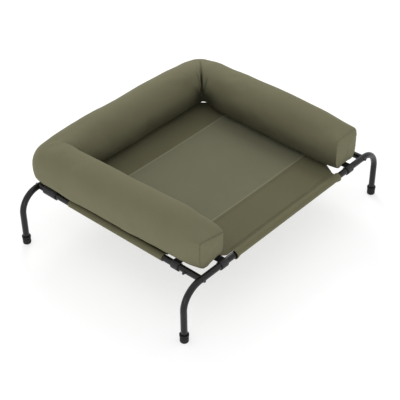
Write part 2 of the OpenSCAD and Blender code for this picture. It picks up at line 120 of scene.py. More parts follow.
# Cloth simulation of the cover: its frames, how much smaller the cover starts, the most that a point may
# move, the run over which the moves fade out, the passes that smooth them, and the cloth
FRAMES = 20
START_IN = 0.004
MOVE_CAP = 0.0028
FADE_RUN = 0.14
SMOOTHING = 4
CLOTH = {"quality": 6, "mass": 0.25, "tension_stiffness": 120, "compression_stiffness": 60,
         "shear_stiffness": 30, "bending_stiffness": 1.0, "use_pressure": True, "uniform_pressure_force": 0.5,
         "shrink_min": -0.003, "vertex_group_mass": "held"}
# Where the simulated cover is held: the height that rests, the runs of the rims and of the corner seams, and
# the zip's zone, as its place behind the spine, its half length and its top
REST_BAND = 0.006
RIM_BAND = 0.004
SEAM_BAND = 0.006
ZIP_ZONE = (0.05, 0.29, 0.262)

# Bed sizes
SLEEVE_R = 0.01225
HEM = 0.018
FRONT_STRIP = 0.158
BACK_STRIP = 0.180
FLANGE = 0.046
SLEEVE_STOP = 0.156
CLOTH_T = 0.0012
BED_SAG = 0.007
MESH_HEM = 0.013
# Painted light: how much the sleeve round each front and back tube is lightened, as if more lit
SLEEVE_PAINTED_LIGHT = 0.55
HEM_DEPTH = 0.0030
HEM_DRIFT = 0.012
MOUTH_FLARE = 0.0036
MOUTH_RUN = 0.022
LAP = 0.006
SLEEVE_STEPS = 26
STRIP_COLUMNS = 150
SIDE_COLUMNS = 90
MESH_GRID = (96, 112)

# Zip: its middle, its lean from upright, its half length and half width, and sizes of its tape and teeth
ZIP_Y = 0.3965318
ZIP_Z = 0.2395900
ZIP_LEAN = math.radians(19.08397)
ZIP_HALF = 0.250
ZIP_HALF_W = 0.0055
TAPE_T = 0.0005
TOOTH_PITCH = 0.0030
TOOTH_HALF_W = 0.0010
TOOTH_H = 0.0009
TOOTH_BASE = 0.0003

random = np.random.default_rng(11)


def smooth(v):
    """Cubic step from 0 to 1 for v from 0 to 1."""
    c = np.clip(v, 0, 1)
    return c * c * (3 - 2 * c)


def bump(v, width):
    """Bell of height 1 about 0: e to the minus square of v over width."""
    return np.exp(-((v / width) ** 2))


def signed_power(v, n):
    """v's size to the power 2 / n, with v's sign: the coordinate of a superellipse of power n."""
    return np.sign(v) * np.abs(v) ** (2.0 / n)


def unit(v):
    """Vectors scaled to length 1."""
    return v / np.maximum(np.linalg.norm(v, axis=-1, keepdims=True), 1e-12)


def grid_faces(rows, columns, wrap=False):
    """Quads of a grid, from each point to its neighbours in its row and the next; wrap closes each row."""
    index = np.arange(rows * columns).reshape(rows, columns)
    if wrap:
        index = np.hstack([index, index[:, :1]])
    return np.stack([index[:-1, :-1], index[:-1, 1:], index[1:, 1:], index[1:, :-1]], -1).reshape(-1, 4)


def make_piece(name, points, faces, uv=None, material=None, **shares):
    """Mesh object at the origin from points and faces; uv holds a place in metres for each face corner.

    Each share gives every point a value from 0 to 1 for its cloth: seam darkens it, for seam lines and painted
    shade, and pale lightens it, for doubled cloth and painted light.
    """
    mesh = bpy.data.meshes.new(name)
    mesh.from_pydata(np.asarray(points, float).reshape(-1, 3).tolist(), [], [list(f) for f in faces])
    if uv is not None:
        layer = mesh.uv_layers.new(name="cloth")
        layer.data.foreach_set("uv", np.asarray(uv, np.float32).ravel())
    for key, values in shares.items():
        share = mesh.attributes.new(key, "FLOAT", "POINT")
        share.data.foreach_set("value", np.asarray(values, np.float32).ravel())
    mesh.polygons.foreach_set("use_smooth", np.ones(len(mesh.polygons), bool))
    piece = bpy.data.objects.new(name, mesh)
    bpy.context.scene.collection.objects.link(piece)
    if material is not None:
        mesh.materials.append(material)
    return piece


def grid_piece(name, points, uv, material, wrap=False, flip=False, **shares):
    """Piece from a grid of points; uv has one column more than the points where the rows are closed."""
    rows, columns = points.shape[:2]
    faces = grid_faces(rows, columns, wrap)
    places = uv.reshape(-1, 2)[grid_faces(rows, uv.shape[1])]
    if flip:
        faces, places = faces[:, ::-1], places[:, ::-1]
    return make_piece(name, points, faces, places, material, **shares)


def grid_normals(points):
    """Unit normals of a grid of closed rows, out of the bolster, from its differences each way."""
    along = np.gradient(points, axis=0)
    across = (np.roll(points, -1, axis=1) - np.roll(points, 1, axis=1)) / 2
    return unit(np.cross(along, across))


def subdivide(piece):
    """Smooths a piece with a subdivision surface of one level in every view."""
    made = piece.modifiers.new("smooth", "SUBSURF")
    made.levels = 1
    made.render_levels = 1
    return piece


def thicken(piece, depth, offset=0.0):
    """Gives a sheet its thickness, shared on both sides unless offset moves it."""
    made = piece.modifiers.new("thickness", "SOLIDIFY")
    made.thickness = depth
    made.offset = offset


# Materials


def add(tree, kind, values=None, **settings):
    """Adds a node with its settings, and sets or links its inputs."""
    made = tree.nodes.new(kind)
    for key, value in settings.items():
        setattr(made, key, value)
    for key, value in (values or {}).items():
        if isinstance(value, bpy.types.NodeSocket):
            tree.links.new(value, made.inputs[key])
        else:
            made.inputs[key].default_value = value
    return made


def maths(tree, operation, a, b=None, clamp=False):
    """Result of a sum on one or two values."""
    values = {0: a} if b is None else {0: a, 1: b}
    return add(tree, "ShaderNodeMath", values, operation=operation, use_clamp=clamp).outputs[0]


def start_material(name):
    """Empty node material and its tree."""
    made = bpy.data.materials.new(name)
    made.use_nodes = True
    made.node_tree.nodes.clear()
    return made, made.node_tree


def object_place(tree):
    """Place of a point in its piece's own frame."""
    return add(tree, "ShaderNodeTexCoord").outputs["Object"]


def cloth_place(tree):
    """Place of a point on its piece's own map, and that place's two parts."""
    place = add(tree, "ShaderNodeUVMap", uv_map="cloth").outputs[0]
    split = add(tree, "ShaderNodeSeparateXYZ", {0: place})
    return place, split.outputs[0], split.outputs[1]


def sloped(tree, value, slope, start, clamp=False):
    """Start plus slope times a value."""
    return maths(tree, "ADD", maths(tree, "MULTIPLY", value, slope), start, clamp)


def wave(tree, value, rate):
    """Sine of a value times a rate."""
    return maths(tree, "SINE", maths(tree, "MULTIPLY", value, rate))


def noise(tree, place, scale, detail=3.0, roughness=0.55):
    """Value of a noise texture at a place."""
    values = {"Vector": place, "Scale": scale, "Detail": detail, "Roughness": roughness}
    return add(tree, "ShaderNodeTexNoise", values).outputs[0]


def scaled(tree, place, factors):
    """Place stretched by a factor along each axis."""
    return add(tree, "ShaderNodeMapping", {"Vector": place, "Scale": factors}).outputs[0]


def mixed(tree, amount, first, second):
    """Colour between two others, or their nodes' colours, by an amount from 0 to 1."""
    made = add(tree, "ShaderNodeMix", {0: amount}, data_type="RGBA")
    for k, value in ((6, first), (7, second)):
        if isinstance(value, bpy.types.NodeSocket):
            tree.links.new(value, made.inputs[k])
        else:
            made.inputs[k].default_value = tuple(value) + (1.0,)
    return made.outputs[2]


def shade_of(tree, amount, colour, low, high):
    """Colour darkened or lightened from low to high times its own value as amount goes from 0 to 1."""
    return mixed(tree, amount, [c * low for c in colour], [c * high for c in colour])


def end_material(tree, shade, gloss, height, strength, depth, **more):
    """Principled shader with a shade, a roughness and a relief; more sets its other inputs."""
    relief = add(tree, "ShaderNodeBump", {"Height": height, "Strength": strength, "Distance": depth})
    values = {"Base Color": shade, "Roughness": gloss, "Normal": relief.outputs[0]}
    for key, value in more.items():
        values[SHADER_INPUTS[key]] = value
    shader = add(tree, "ShaderNodeBsdfPrincipled", values)
    add(tree, "ShaderNodeOutputMaterial", {"Surface": shader.outputs[0]})


SHADER_INPUTS = {"shine": "Specular IOR Level", "sheen": "Sheen Weight", "sheen_rough": "Sheen Roughness",
                 "sheen_tint": "Sheen Tint", "metal": "Metallic"}


def woven_cloth(name, colour, pitch, depth=0.0003, hole=0.0, rough=0.9):
    """Plain weave on the piece's own map: threads rise and fall by the product of two sines of the pitch.

    Long thin noise along both threads gives slubs, and broad noise a cloudy shade.
    Where hole is above 0 the low spots between the threads darken, as in an open mesh.
    """
    made, tree = start_material(name)
    place, across, along = cloth_place(tree)
    weave = maths(tree, "MULTIPLY", wave(tree, across, math.pi / pitch), wave(tree, along, math.pi / pitch))
    short, long = 0.7 / pitch, 0.03 / pitch
    warp = noise(tree, scaled(tree, place, (short, long, 1)), 1.0, 2.0)
    weft = noise(tree, scaled(tree, place, (long, short, 1)), 1.0, 2.0)
    slubs = maths(tree, "MULTIPLY", maths(tree, "ADD", warp, weft), 0.5)
    cloud = noise(tree, object_place(tree), 7.0, 4.0)
    mottle = sloped(tree, slubs, 0.6, maths(tree, "MULTIPLY", cloud, 0.4))
    crossing = maths(tree, "ABSOLUTE", weave)
    amount = sloped(tree, mottle, 0.75 - hole, maths(tree, "MULTIPLY", crossing, 0.25 + hole))
    shade = shade_of(tree, amount, colour, 0.72 - 0.3 * hole, 1.26 + 0.1 * hole)
    # The seam share darkens the colour, for seam lines and painted shade; the pale share lightens it, for
    # doubled cloth and painted light on the sleeves
    seam = add(tree, "ShaderNodeAttribute", attribute_name="seam").outputs["Fac"]
    pale = add(tree, "ShaderNodeAttribute", attribute_name="pale").outputs["Fac"]
    shade = mixed(tree, seam, shade, [c * 0.22 for c in colour])
    shade = mixed(tree, maths(tree, "MULTIPLY", pale, 0.45), shade, [c * 1.5 for c in colour])
    gloss = sloped(tree, slubs, 0.16, rough - 0.08)
    tint = tuple(min(1.0, c * 4) for c in colour) + (1.0,)
    end_material(tree, shade, gloss, sloped(tree, weave, 0.5, slubs), 0.35, depth,
                 shine=0.2, sheen=0.12, sheen_rough=0.5, sheen_tint=tint)
    return made


def powder_coat(name, colour):
    """Satin powder coat: a fine dimpled skin, uneven in gloss, with pale scuffs at peaks of noise."""
    made, tree = start_material(name)
    place = object_place(tree)
    dimples = noise(tree, place, 900.0, 2.0)
    patches = noise(tree, place, 28.0, 4.0)
    peaks = maths(tree, "SUBTRACT", noise(tree, place, 90.0, 6.0, 0.7), 0.66, True)
    scuffs = maths(tree, "MULTIPLY", peaks, 3.0, True)
    shade = shade_of(tree, sloped(tree, patches, 0.5, scuffs, True), colour, 0.8, 2.2)
    end_material(tree, shade, sloped(tree, patches, 0.12, 0.20), dimples, 0.12, 0.0003, shine=0.36)
    return made


def moulded(name, colour, rough, grain):
    """Moulded rubber or nylon: fine grain of the given scale, and dusty patches."""
    made, tree = start_material(name)
    place = object_place(tree)
    fine_grain = noise(tree, place, grain, 3.0)
    dust = noise(tree, place, 45.0, 5.0, 0.65)
    shade = shade_of(tree, dust, colour, 0.6, 1.7)
    end_material(tree, shade, sloped(tree, dust, 0.2, rough - 0.1), fine_grain, 0.25, 0.0004, shine=0.25)
    return made


def plated(name, colour, rough, metal):
    """Plated or blackened metal: fine scratches from stretched noise, and a cloudy shade."""
    made, tree = start_material(name)
    place = object_place(tree)
    scratches = noise(tree, scaled(tree, place, (220.0, 2600.0, 2600.0)), 1.0, 3.0)
    shade = shade_of(tree, noise(tree, place, 160.0, 4.0), colour, 0.75, 1.3)
    gloss = sloped(tree, scratches, 0.25, rough - 0.1)
    end_material(tree, shade, gloss, scratches, 0.12, 0.0002, metal=metal)
    return made


def webbing(name, colour):
    """Ribbed webbing on the piece's own map: ribs across its length, and a raised twill along them."""
    made, tree = start_material(name)
    place, along, across = cloth_place(tree)
    ribs = wave(tree, along, math.tau / RIB_PITCH)
    twill = wave(tree, maths(tree, "ADD", along, across), math.tau / TWILL_PITCH)
    fuzz = noise(tree, place, 700.0, 3.0)
    height = maths(tree, "ADD", maths(tree, "ADD", ribs, maths(tree, "MULTIPLY", twill, 0.5)), fuzz)
    shade = shade_of(tree, sloped(tree, height, 0.14, 0.35, True), colour, 0.5, 1.9)
    end_material(tree, shade, sloped(tree, fuzz, 0.2, 0.6), height, 0.4, 0.0004,
                 shine=0.3, sheen=0.1, sheen_rough=0.5)
    return made


def fibre(name, colour):
    """Loose fibre or thread: tangled noise for its shade and its relief."""
    made, tree = start_material(name)
    tangle = noise(tree, object_place(tree), 1200.0, 4.0)
    end_material(tree, shade_of(tree, tangle, colour, 0.7, 1.3), 0.85, tangle, 0.4, 0.0003, shine=0.2)
    return made


RIB_PITCH = 0.0016
TWILL_PITCH = 0.0022
bolster_cloth = woven_cloth("bolster_cloth", (0.165, 0.158, 0.094), 0.0009)
bed_cloth = woven_cloth("bed_cloth", (0.126, 0.120, 0.068), 0.0010)
bed_mesh = woven_cloth("bed_mesh", (0.162, 0.159, 0.102), 0.0014, depth=0.0006, hole=0.25)
frame_black = powder_coat("frame_black", (0.0032, 0.0032, 0.0032))
foot_rubber = moulded("foot_rubber", (0.007, 0.007, 0.007), 0.62, 700.0)
plug_nylon = moulded("plug_nylon", (0.07, 0.07, 0.072), 0.5, 900.0)
bolt_black = plated("bolt_black", (0.02, 0.02, 0.021), 0.42, 0.0)
zip_metal = plated("zip_metal", (0.5, 0.5, 0.51), 0.32, 1.0)
strap_black = webbing("strap_black", (0.026, 0.026, 0.026))
# Hook tape on the strap tongues, darkened further as painted shade under the bolster
hook_tape_and_shade = fibre("hook_tape_and_shade", (0.004, 0.004, 0.004))
seam_thread = fibre("seam_thread", (0.115, 0.108, 0.066))
zip_tape_black = webbing("zip_tape_black", (0.02, 0.02, 0.02))
zip_teeth_black = moulded("zip_teeth_black", (0.018, 0.018, 0.018), 0.4, 1500.0)


# Bolster


def sections(half_width, top, boxy, low_boxy, tilt, level, columns):
    """Closed sections of the bolster, a row each, as offsets inward and heights.

    A section is a superellipse about the waist, rounder above than below, boxier by the powers boxy above and
    low_boxy below, with its top tilted inward by the slope tilt. Its underside is lifted, with a soft edge,
    to the level that it rests on at each offset. Each eighth has the same number of points, at equal steps of
    its outline, so a boxed corner keeps its column.
    """
    dense = 60
    turn = np.linspace(0, 2 * np.pi, 8 * dense + 1)
    c, s = np.cos(turn), np.sin(turn)
    n = np.where(s > 0, UPPER_POWER + boxy[:, None], LOWER_POWER + low_boxy[:, None])
    reach = np.where(s > 0, (top - WAIST_Z)[:, None], WAIST_Z - BASE_Z + BASE_TUCK)
    q = half_width[:, None] * signed_power(c, n)
    rise = signed_power(s, n)
    z = WAIST_Z + reach * rise + tilt[:, None] * q * np.maximum(rise, 0)
    rest = level(q)
    over = z - rest
    z = rest + (over + np.sqrt(over ** 2 + SOFT_EDGE ** 2 * smooth((WAIST_Z - z) / 0.02))) / 2
    share = np.arange(columns // 8) / (columns // 8)
    found_q, found_z = [], []
    for k in range(8):
        part_q, part_z = (v[:, k * dense:(k + 1) * dense + 1] for v in (q, z))
        step = np.hypot(np.diff(part_q), np.diff(part_z))
        length = np.hstack([np.zeros((len(q), 1)), np.cumsum(step, axis=1)])
        at = length[:, -1:] * share
        found_q.append(np.stack([np.interp(a, b, v) for a, b, v in zip(at, length, part_q)]))
        found_z.append(np.stack([np.interp(a, b, v) for a, b, v in zip(at, length, part_z)]))
    return np.hstack(found_q), np.hstack(found_z)


def corner_places(q, share):
    """Distance along and offset inward in a corner, and the unrolled distance, for points at offset q.

    Inner points run straight to the seam, where the distance along is the offset.
    Outer points turn about the corner's centre at the radius of their offset.
    """
    arc = np.maximum(-q, 0)
    run = share * (HALF_W - np.maximum(q, 0) + arc * np.pi / 4)
    turned = run > HALF_W
    angle = np.where(turned, (run - HALF_W) / np.maximum(arc, 1e-9), 0)
    along = np.where(turned, -arc * np.sin(angle), HALF_W - run)
    across = np.where(turned, -arc * np.cos(angle), q)
    return along, across, HALF_W - run


def belly_drop(q, inset, belly):
    """How far the underside hangs below the straps' tops inside the rail, where the bed carries it."""
    return (BASE_Z - BELLY_Z) * belly[:, None] * smooth((q + inset - BELLY_FROM) / BELLY_RAMP)


def corner_rows(shares, side, columns, start=0.0):
    """Rows of a corner as along, across, height and unrolled distance.

    Its top dips to the seam by a cosine step of the share, more outside than inside, from a start below the
    full height. Its inner underside is drawn up at the seam.
    """
    none = np.zeros(len(shares))
    step = (1 - np.cos(np.pi * shares)) / 2
    outside, inside = CORNER_DIP[side][:2]
    q, z = sections(HALF_W + none, BASE_Z + HEIGHT + none, none, none, none,
                    lambda q: BASE_Z + CORNER_LIFT * step[:, None] * smooth((q - 0.01) / 0.03), columns)
    lower = inside + (outside - inside) * smooth((0.03 - q) / 0.05)
    dip = start * (1 - step)[:, None] + step[:, None] * lower
    z = z - dip * np.clip((z - WAIST_Z) / (BASE_Z + HEIGHT - WAIST_Z), 0, 1)
    along, across, unrolled = corner_places(q, shares[:, None])
    return np.stack([along, across, z, unrolled], -1)


def arm_rows(distances, side, columns):
    """Rows of an arm's straight as along, across, height and unrolled distance.

    Its crest rises by a smooth step, then falls to its panel by the cube of the share that is passed. Its
    sides close in by the square of the share of the rounding that is passed, and it turns boxy over the last
    few centimetres. Its inner underside sinks to the bed where no strap holds it up.
    """
    toe, rise, falls_from, end_half, end_top, end_tilt, end_power, end_lift, end_sag = ARM_ENDS[side]
    share = (distances - HALF_W) / STRAIGHT
    left = ARM_LEN - distances
    grow = 1 - (1 - np.clip(left / END_ROUND, 0, 1)) ** 2
    start = CORNER_DIP[side][2]
    fallen = np.clip((share - falls_from) / (1 - falls_from), 0, 1) ** 3
    top = BASE_Z + HEIGHT - start + (start + rise) * smooth(share / 0.5)
    top -= (BASE_Z + HEIGHT + rise - end_top) * fallen
    y = SPINE_Y - distances
    belly = smooth(((BACK_Y - FRONT_Y) / 2 - SLEEVE_STOP - 0.01 - np.abs(y - MIDDLE_Y)) / BELLY_FADE)
    before = (smooth((y + 0.335) / 0.02) * smooth((MIDDLE_Y - y) / 0.05))[:, None]
    at_end = smooth((-0.305 - y) / 0.025)[:, None]

    def hang(q):
        """Level under the arm: the belly, the sunk stretch before it, and the panel's lift and sag."""
        place = q + toe * share[:, None]
        sunk = SINK * before * smooth((place + 0.003) / 0.02)
        lifted = end_lift[2] * smooth((place - end_lift[0]) / end_lift[1])
        sagged = end_sag[2] * smooth((end_sag[0] - place) / end_sag[1])
        return BASE_Z - np.maximum(belly_drop(q, ARM_IN, belly), sunk) + at_end * (lifted - sagged)

    boxed = np.exp(-left / END_BOXED)
    full = LOW_FULL * smooth(share / 0.15)
    half = end_half + (HALF_W - end_half) * grow
    q, z = sections(half, top, end_power * boxed, full, end_tilt * fallen, hang, columns)
    along = np.repeat(distances[:, None], columns, axis=1)
    return np.stack([along, q + toe * share[:, None], z, along], -1)


def back_rows(places, columns):
    """Rows of the back's straight at places along X, as X, offset inward, height and X again."""
    share = np.abs(places) / BACK_HALF
    level = BASE_Z + HEIGHT + BACK_CROWN * (1 - share ** 2) + LEFT_CROWN * bump(places + 0.17, 0.07)
    belly = smooth((RAIL_X - SLEEVE_STOP - 0.01 - np.abs(places)) / BELLY_FADE)
    none = np.zeros(len(places))
    q, z = sections(HALF_W + none, level, none, none, none,
                    lambda q: BASE_Z - belly_drop(q, BACK_IN, belly), columns)
    along = np.repeat(places[:, None], columns, axis=1)
    return np.stack([along, q, z, along], -1)


def to_arm(rows, side):
    """Points of an arm's rows: side is -1 for the left arm and 1 for the right one."""
    return np.stack([side * (ARM_X - rows[..., 1]), SPINE_Y - rows[..., 0], rows[..., 2]], -1)


def to_back(rows, side):
    """Points of the back's corner rows on a side."""
    return np.stack([side * (ARM_X - rows[..., 0]), SPINE_Y - rows[..., 1], rows[..., 2]], -1)


def panel_rows(rim, shares):
    """Rows of an end panel: its rim drawn in to its middle by each share.

    It swells out by one less the share squared.
    """
    hub = rim.mean(axis=0)
    rows = hub + (rim - hub) * shares[:, None, None]
    rows[..., 1] -= END_SWELL * (1 - shares[:, None] ** 2)
    return rows


def spaced(low, high, step):
    """Even places from low to high, about a step apart."""
    return np.linspace(low, high, int(round((high - low) / step)) + 1)


def arm_steps(step, near_step, end_step):
    """Distances along an arm's straight from its corner to its end, closer together at both ends."""
    near, far = HALF_W + NEAR_CORNER, ARM_LEN - 0.042
    return np.concatenate([spaced(HALF_W, near, near_step), spaced(near, far, step)[1:],
                           spaced(far, ARM_LEN, end_step)[1:]])


def back_steps(step, near_step):
    """Places along the back's straight, closer together beside its corners."""
    near = BACK_HALF - NEAR_CORNER
    side = spaced(near, BACK_HALF, near_step)[1:]
    return np.concatenate([-side[::-1], spaced(-near, near, step), side])


class Bolster:
    """The whole cover as one grid, from the middle of the left end panel round to that of the right one.

    at is each row's place along the run, along its unrolled distance, from_seam the distance of each point
    from its corner's seam, and inward its offset. first to fourth are the rows where the five pieces meet.
    """

    def __init__(self, step, near_step, end_step, columns, panel_shares):
        turns = int(round(CORNER_ARC / step))
        corner = np.arange(1, turns + 1) / turns
        straight = arm_steps(step, near_step, end_step)
        across = back_steps(step, near_step)
        arm_corner = {side: corner_rows(corner, side, columns, CORNER_DIP[side][2]) for side in (-1, 1)}
        back_corner = {side: corner_rows(corner[:-1], side, columns) for side in (-1, 1)}
        arms = [arm_rows(straight, side, columns) for side in (-1, 1)]
        left = np.concatenate([arms[0][::-1], arm_corner[-1]])
        right = np.concatenate([arms[1][::-1], arm_corner[1]])[::-1]
        left_turn, right_turn = back_corner[-1][::-1], back_corner[1]
        back = back_rows(across, columns)
        left_points, right_points = to_arm(left, -1), to_arm(right, 1)
        back_points = np.concatenate([
            to_back(left_turn, -1),
            np.stack([back[..., 0], SPINE_Y - back[..., 1], back[..., 2]], -1),
            to_back(right_turn, 1)])
        left_panel = panel_rows(left_points[0], panel_shares)
        right_panel = panel_rows(right_points[-1], panel_shares)[::-1]
        self.points = np.concatenate([left_panel, left_points, back_points, right_points, right_panel])
        self.columns = columns
        arm_at = np.concatenate([(ARM_LEN - straight)[::-1], STRAIGHT + CORNER_RUN * corner])
        back_at = np.concatenate([
            CORNER_RUN * (1 - corner[:-1][::-1]), CORNER_RUN + across + BACK_HALF,
            CORNER_RUN + 2 * BACK_HALF + CORNER_RUN * corner[:-1]]) + STRAIGHT + CORNER_RUN
        whole = 2 * (STRAIGHT + 2 * CORNER_RUN + BACK_HALF)
        panel_at = -PANEL_RUN * (1 - panel_shares)
        self.at = np.concatenate([panel_at, arm_at, back_at, whole - arm_at[::-1], whole - panel_at[::-1]])
        edges = np.cumsum([len(left_panel), len(left_points), len(back_points), len(right_points)])
        self.first, self.second = edges[0], edges[1] - 1
        self.third, self.fourth = edges[2], edges[3] - 1
        flat = np.concatenate([left[..., 3], np.concatenate([
            -BACK_HALF - (HALF_W - left_turn[..., 3]), back[..., 3],
            BACK_HALF + (HALF_W - right_turn[..., 3])]), right[..., 3]])
        self.along = np.concatenate([left_panel[..., 0], flat, right_panel[..., 0]])
        seam = np.concatenate([left[..., 0] - left[..., 1], np.concatenate([
            left_turn[..., 0] - left_turn[..., 1],
            ARM_X - np.abs(back[..., 0]) - back[..., 1],
            right_turn[..., 0] - right_turn[..., 1]]), right[..., 0] - right[..., 1]]) / math.sqrt(2)
        far = np.full((len(panel_shares), columns), 1.0)
        self.from_seam = np.concatenate([far, seam, far])
        inward = np.concatenate([rows[..., 1] for rows in (left, left_turn, back, right_turn, right)])
        self.inward = np.concatenate([0 * far, inward, 0 * far])


coarse = Bolster(0.010, 0.010, 0.007, 64, np.array([0.08, 0.3, 0.5, 0.68, 0.84]))
PANEL_SHARES = np.array([0.03, 0.12, 0.22, 0.32, 0.42, 0.52, 0.62, 0.71, 0.79, 0.86, 0.91, 0.95, 0.98])
fine = Bolster(0.006, 0.0022, 0.0024, 128, PANEL_SHARES)


def inflate(points, held):
    """Moves of a closed cover swollen by cloth simulation.

    The cover starts a little smaller, along its normals. Pressure then pushes it out while it has some spare
    cloth, and held points stay where they are. The mean swell of the free points is taken off, and long moves
    are cut short.
    """
    rows, columns = points.shape[:2]
    normals = grid_normals(points)
    start = points - normals * START_IN * (1 - held)[..., None]
    faces = [list(f)[::-1] for f in grid_faces(rows, columns, True)]
    faces += [list(range(columns)), list(range((rows - 1) * columns, rows * columns))[::-1]]
    trial = make_piece("cover_trial", start, faces)
    group = trial.vertex_groups.new(name="held")
    flat_held = held.ravel()
    for level in (1.0, 0.6):
        members = np.flatnonzero(np.isclose(flat_held, level, atol=0.15)).tolist()
        group.add(members, level, "REPLACE")
    made = trial.modifiers.new("Cloth", "CLOTH")
    for key, value in CLOTH.items():
        setattr(made.settings, key, value)
    made.settings.effector_weights.gravity = 0
    made.collision_settings.use_collision = False
    made.collision_settings.use_self_collision = False
    made.point_cache.frame_start = 1
    made.point_cache.frame_end = FRAMES
    scene = bpy.context.scene
    for k in range(1, FRAMES + 1):
        scene.frame_set(k)
    shown = trial.evaluated_get(bpy.context.evaluated_depsgraph_get()).to_mesh()
    moved = np.zeros(rows * columns * 3, np.float32)
    shown.vertices.foreach_get("co", moved)
    scene.frame_set(1)
    bpy.data.objects.remove(trial)
    move = moved.reshape(points.shape).astype(float) - points
    free = flat_held < 0.5
    swell = (move * normals).sum(axis=-1)
    move -= normals * (swell.ravel()[free].mean() * (1 - held))[..., None]
    length = np.linalg.norm(move, axis=-1, keepdims=True)
    return move * np.minimum(1, MOVE_CAP / np.maximum(length, 1e-9))


def carried(values, from_rows, to_rows, columns):
    """Values of one grid read on another by straight interpolation along its rows and round its columns."""
    place = np.interp(to_rows, from_rows, np.arange(len(from_rows)))
    low = np.clip(np.floor(place).astype(int), 0, len(from_rows) - 2)
    part = (place - low)[:, None, None]
    rows = values[low] * (1 - part) + values[low + 1] * part
    count = values.shape[1]
    turn = np.arange(columns) * count / columns
    left = np.floor(turn).astype(int)
    share = (turn - left)[None, :, None]
    return rows[:, left % count] * (1 - share) + rows[:, (left + 1) % count] * share


def held_points(grid):
    """How firmly each point is held: fully where the cover rests, at its rims and round the zip.

    The inner corner seams are held less, and the rest not at all.
    """
    p = grid.points
    rests = p[..., 2] < BASE_Z + REST_BAND
    rim = np.abs(from_rim(grid)) < RIM_BAND
    corner = (np.abs(grid.from_seam) < SEAM_BAND) & (p[..., 2] > BASE_Z) & (grid.inward > 0.025)
    behind, half, top = ZIP_ZONE
    zip_zone = (p[..., 1] > SPINE_Y + behind) & (np.abs(p[..., 0]) < half) & (p[..., 2] < top)
    held = np.zeros(p.shape[:2])
    held[corner] = 0.6
    held[zip_zone | rests | np.broadcast_to(rim, held.shape)] = 1.0
    return held


def settled_moves():
    """Moves of the fine grid from the simulated coarse one.

    The rows that fan out from an inner corner meet in one point there, so only its seam goes into the
    simulation. The moves fade out towards the corners and the end panels, where seams keep the cover in
    shape.
    """
    seams = [coarse.second, coarse.third]
    apart = np.abs(coarse.at[:, None] - coarse.at[seams])
    kept = np.flatnonzero((apart > CORNER_RUN + 0.001).all(axis=1) | (apart < 1e-6).any(axis=1))
    held = held_points(coarse)
    held[seams] = 1.0
    moves = inflate(coarse.points[kept], held[kept])
    moves = carried(moves, coarse.at[kept], fine.at, fine.columns)
    for k in range(SMOOTHING):
        moves[1:-1] = (moves[:-2] + 2 * moves[1:-1] + moves[2:]) / 4
        moves = (np.roll(moves, 1, axis=1) + 2 * moves + np.roll(moves, -1, axis=1)) / 4
    from_corner = np.abs(fine.at[:, None] - fine.at[[fine.second, fine.third]]).min(axis=1)
    loose = smooth((from_corner - CORNER_RUN) / FADE_RUN) * smooth(from_rim(fine)[:, 0] / FADE_RUN)
    return moves * loose[:, None, None]


def soft_dents(grid, normals):
    """Shallow uneven swells of the filling: slow waves along and round the cover, off where it is held."""
    turn = np.arange(grid.columns) / grid.columns * 2 * np.pi
    along = grid.at[:, None]
    total = np.zeros(grid.points.shape[:2])
    for k in range(9):
        waves, around = 4 + 2.6 * k, random.integers(1, 4)
        total += np.sin(along * waves * 2 + around * turn + random.uniform(0, 6.28)) / (1 + 0.5 * k)
    free = 1 - carried(held_points(coarse)[..., None], coarse.at, grid.at, grid.columns)[..., 0]
    return normals * (DENT * total * free)[..., None]


def beside_back(p):
    """True for the points on the back's side of a corner seam."""
    return np.abs(p[..., 0]) < ARM_X - (SPINE_Y - p[..., 1])


def fold_height(grid):
    """Height of the folds that fan out from the foot of each inner corner seam, below 0 in a valley.

    A fold is a valley or a ridge whose distance from the seam grows with the square of its height above the
    base. The seam itself is a valley, and at its foot the cloth bunches up and stands out.
    """
    p, d = grid.points, np.abs(grid.from_seam)
    level = np.clip((p[..., 2] - FOLD_BASE) / FOLD_SPAN, 0, 1)
    on_back = beside_back(p)
    fan = level ** 2
    foot = smooth((0.5 - level) / 0.45)
    folds = np.zeros(d.shape)
    for group, place in ((BACK_FOLDS, on_back), (ARM_FOLDS, ~on_back)):
        for reach, height, width, start, end in group:
            run = smooth((end - level) / 0.2) * smooth((level - start) / 0.12)
            folds += height * bump(d - reach * fan, width) * run * place
    at_right = p[..., 0] > 0
    top_end = np.where(at_right, 1.02, 0.80)
    seam = (FOOT_BUNCH * foot - SEAM_DEPTH) * bump(d, 0.0030 + 0.0060 * foot)
    seam = seam * smooth((top_end - level) / 0.25)
    inner = smooth((grid.inward - 0.004) / 0.018) * (d < 0.2)
    strength = np.where(at_right, FOLD_SHARE[1], FOLD_SHARE[-1])
    return inner * (seam * np.where(at_right, 1.0, 0.6) + folds * strength)


def corner_hollow(grid):
    """Lift of the inner underside beside the right back corner's seam, where the cover is drawn up."""
    p = grid.points
    wide = np.where(beside_back(p), 0.009, 0.020)
    beside = bump(grid.from_seam, wide) * smooth((grid.inward - 0.030) / 0.025)
    lift = np.zeros(p.shape)
    lift[..., 2] = HOLLOW_LIFT * beside * smooth((0.29 - p[..., 2]) / 0.06) * (p[..., 0] > 0)
    return lift


def from_rim(grid):
    """Distance of each row from the nearer end panel's rim, below 0 on the panel."""
    return np.minimum(grid.at, grid.at[-1] + grid.at[0] - grid.at)[:, None]


def end_seams(grid, normals):
    """Seams of the end panels: a narrow groove along the rim, and small puckers that die out away from it."""
    d = from_rim(grid)
    turn = np.arange(grid.columns) / grid.columns
    groove = RIM_GROOVE * bump(d, 0.0022)
    waves = np.sin(turn * 2 * np.pi * 31) + 0.7 * np.sin(turn * 2 * np.pi * 19 + 1.0)
    upper = smooth((grid.points[..., 2] - 0.25) / 0.05)
    puckers = PUCKER * waves * np.exp(-np.abs(d) / 0.009) * (0.25 + 0.75 * upper)
    return normals * (groove + puckers)[..., None]


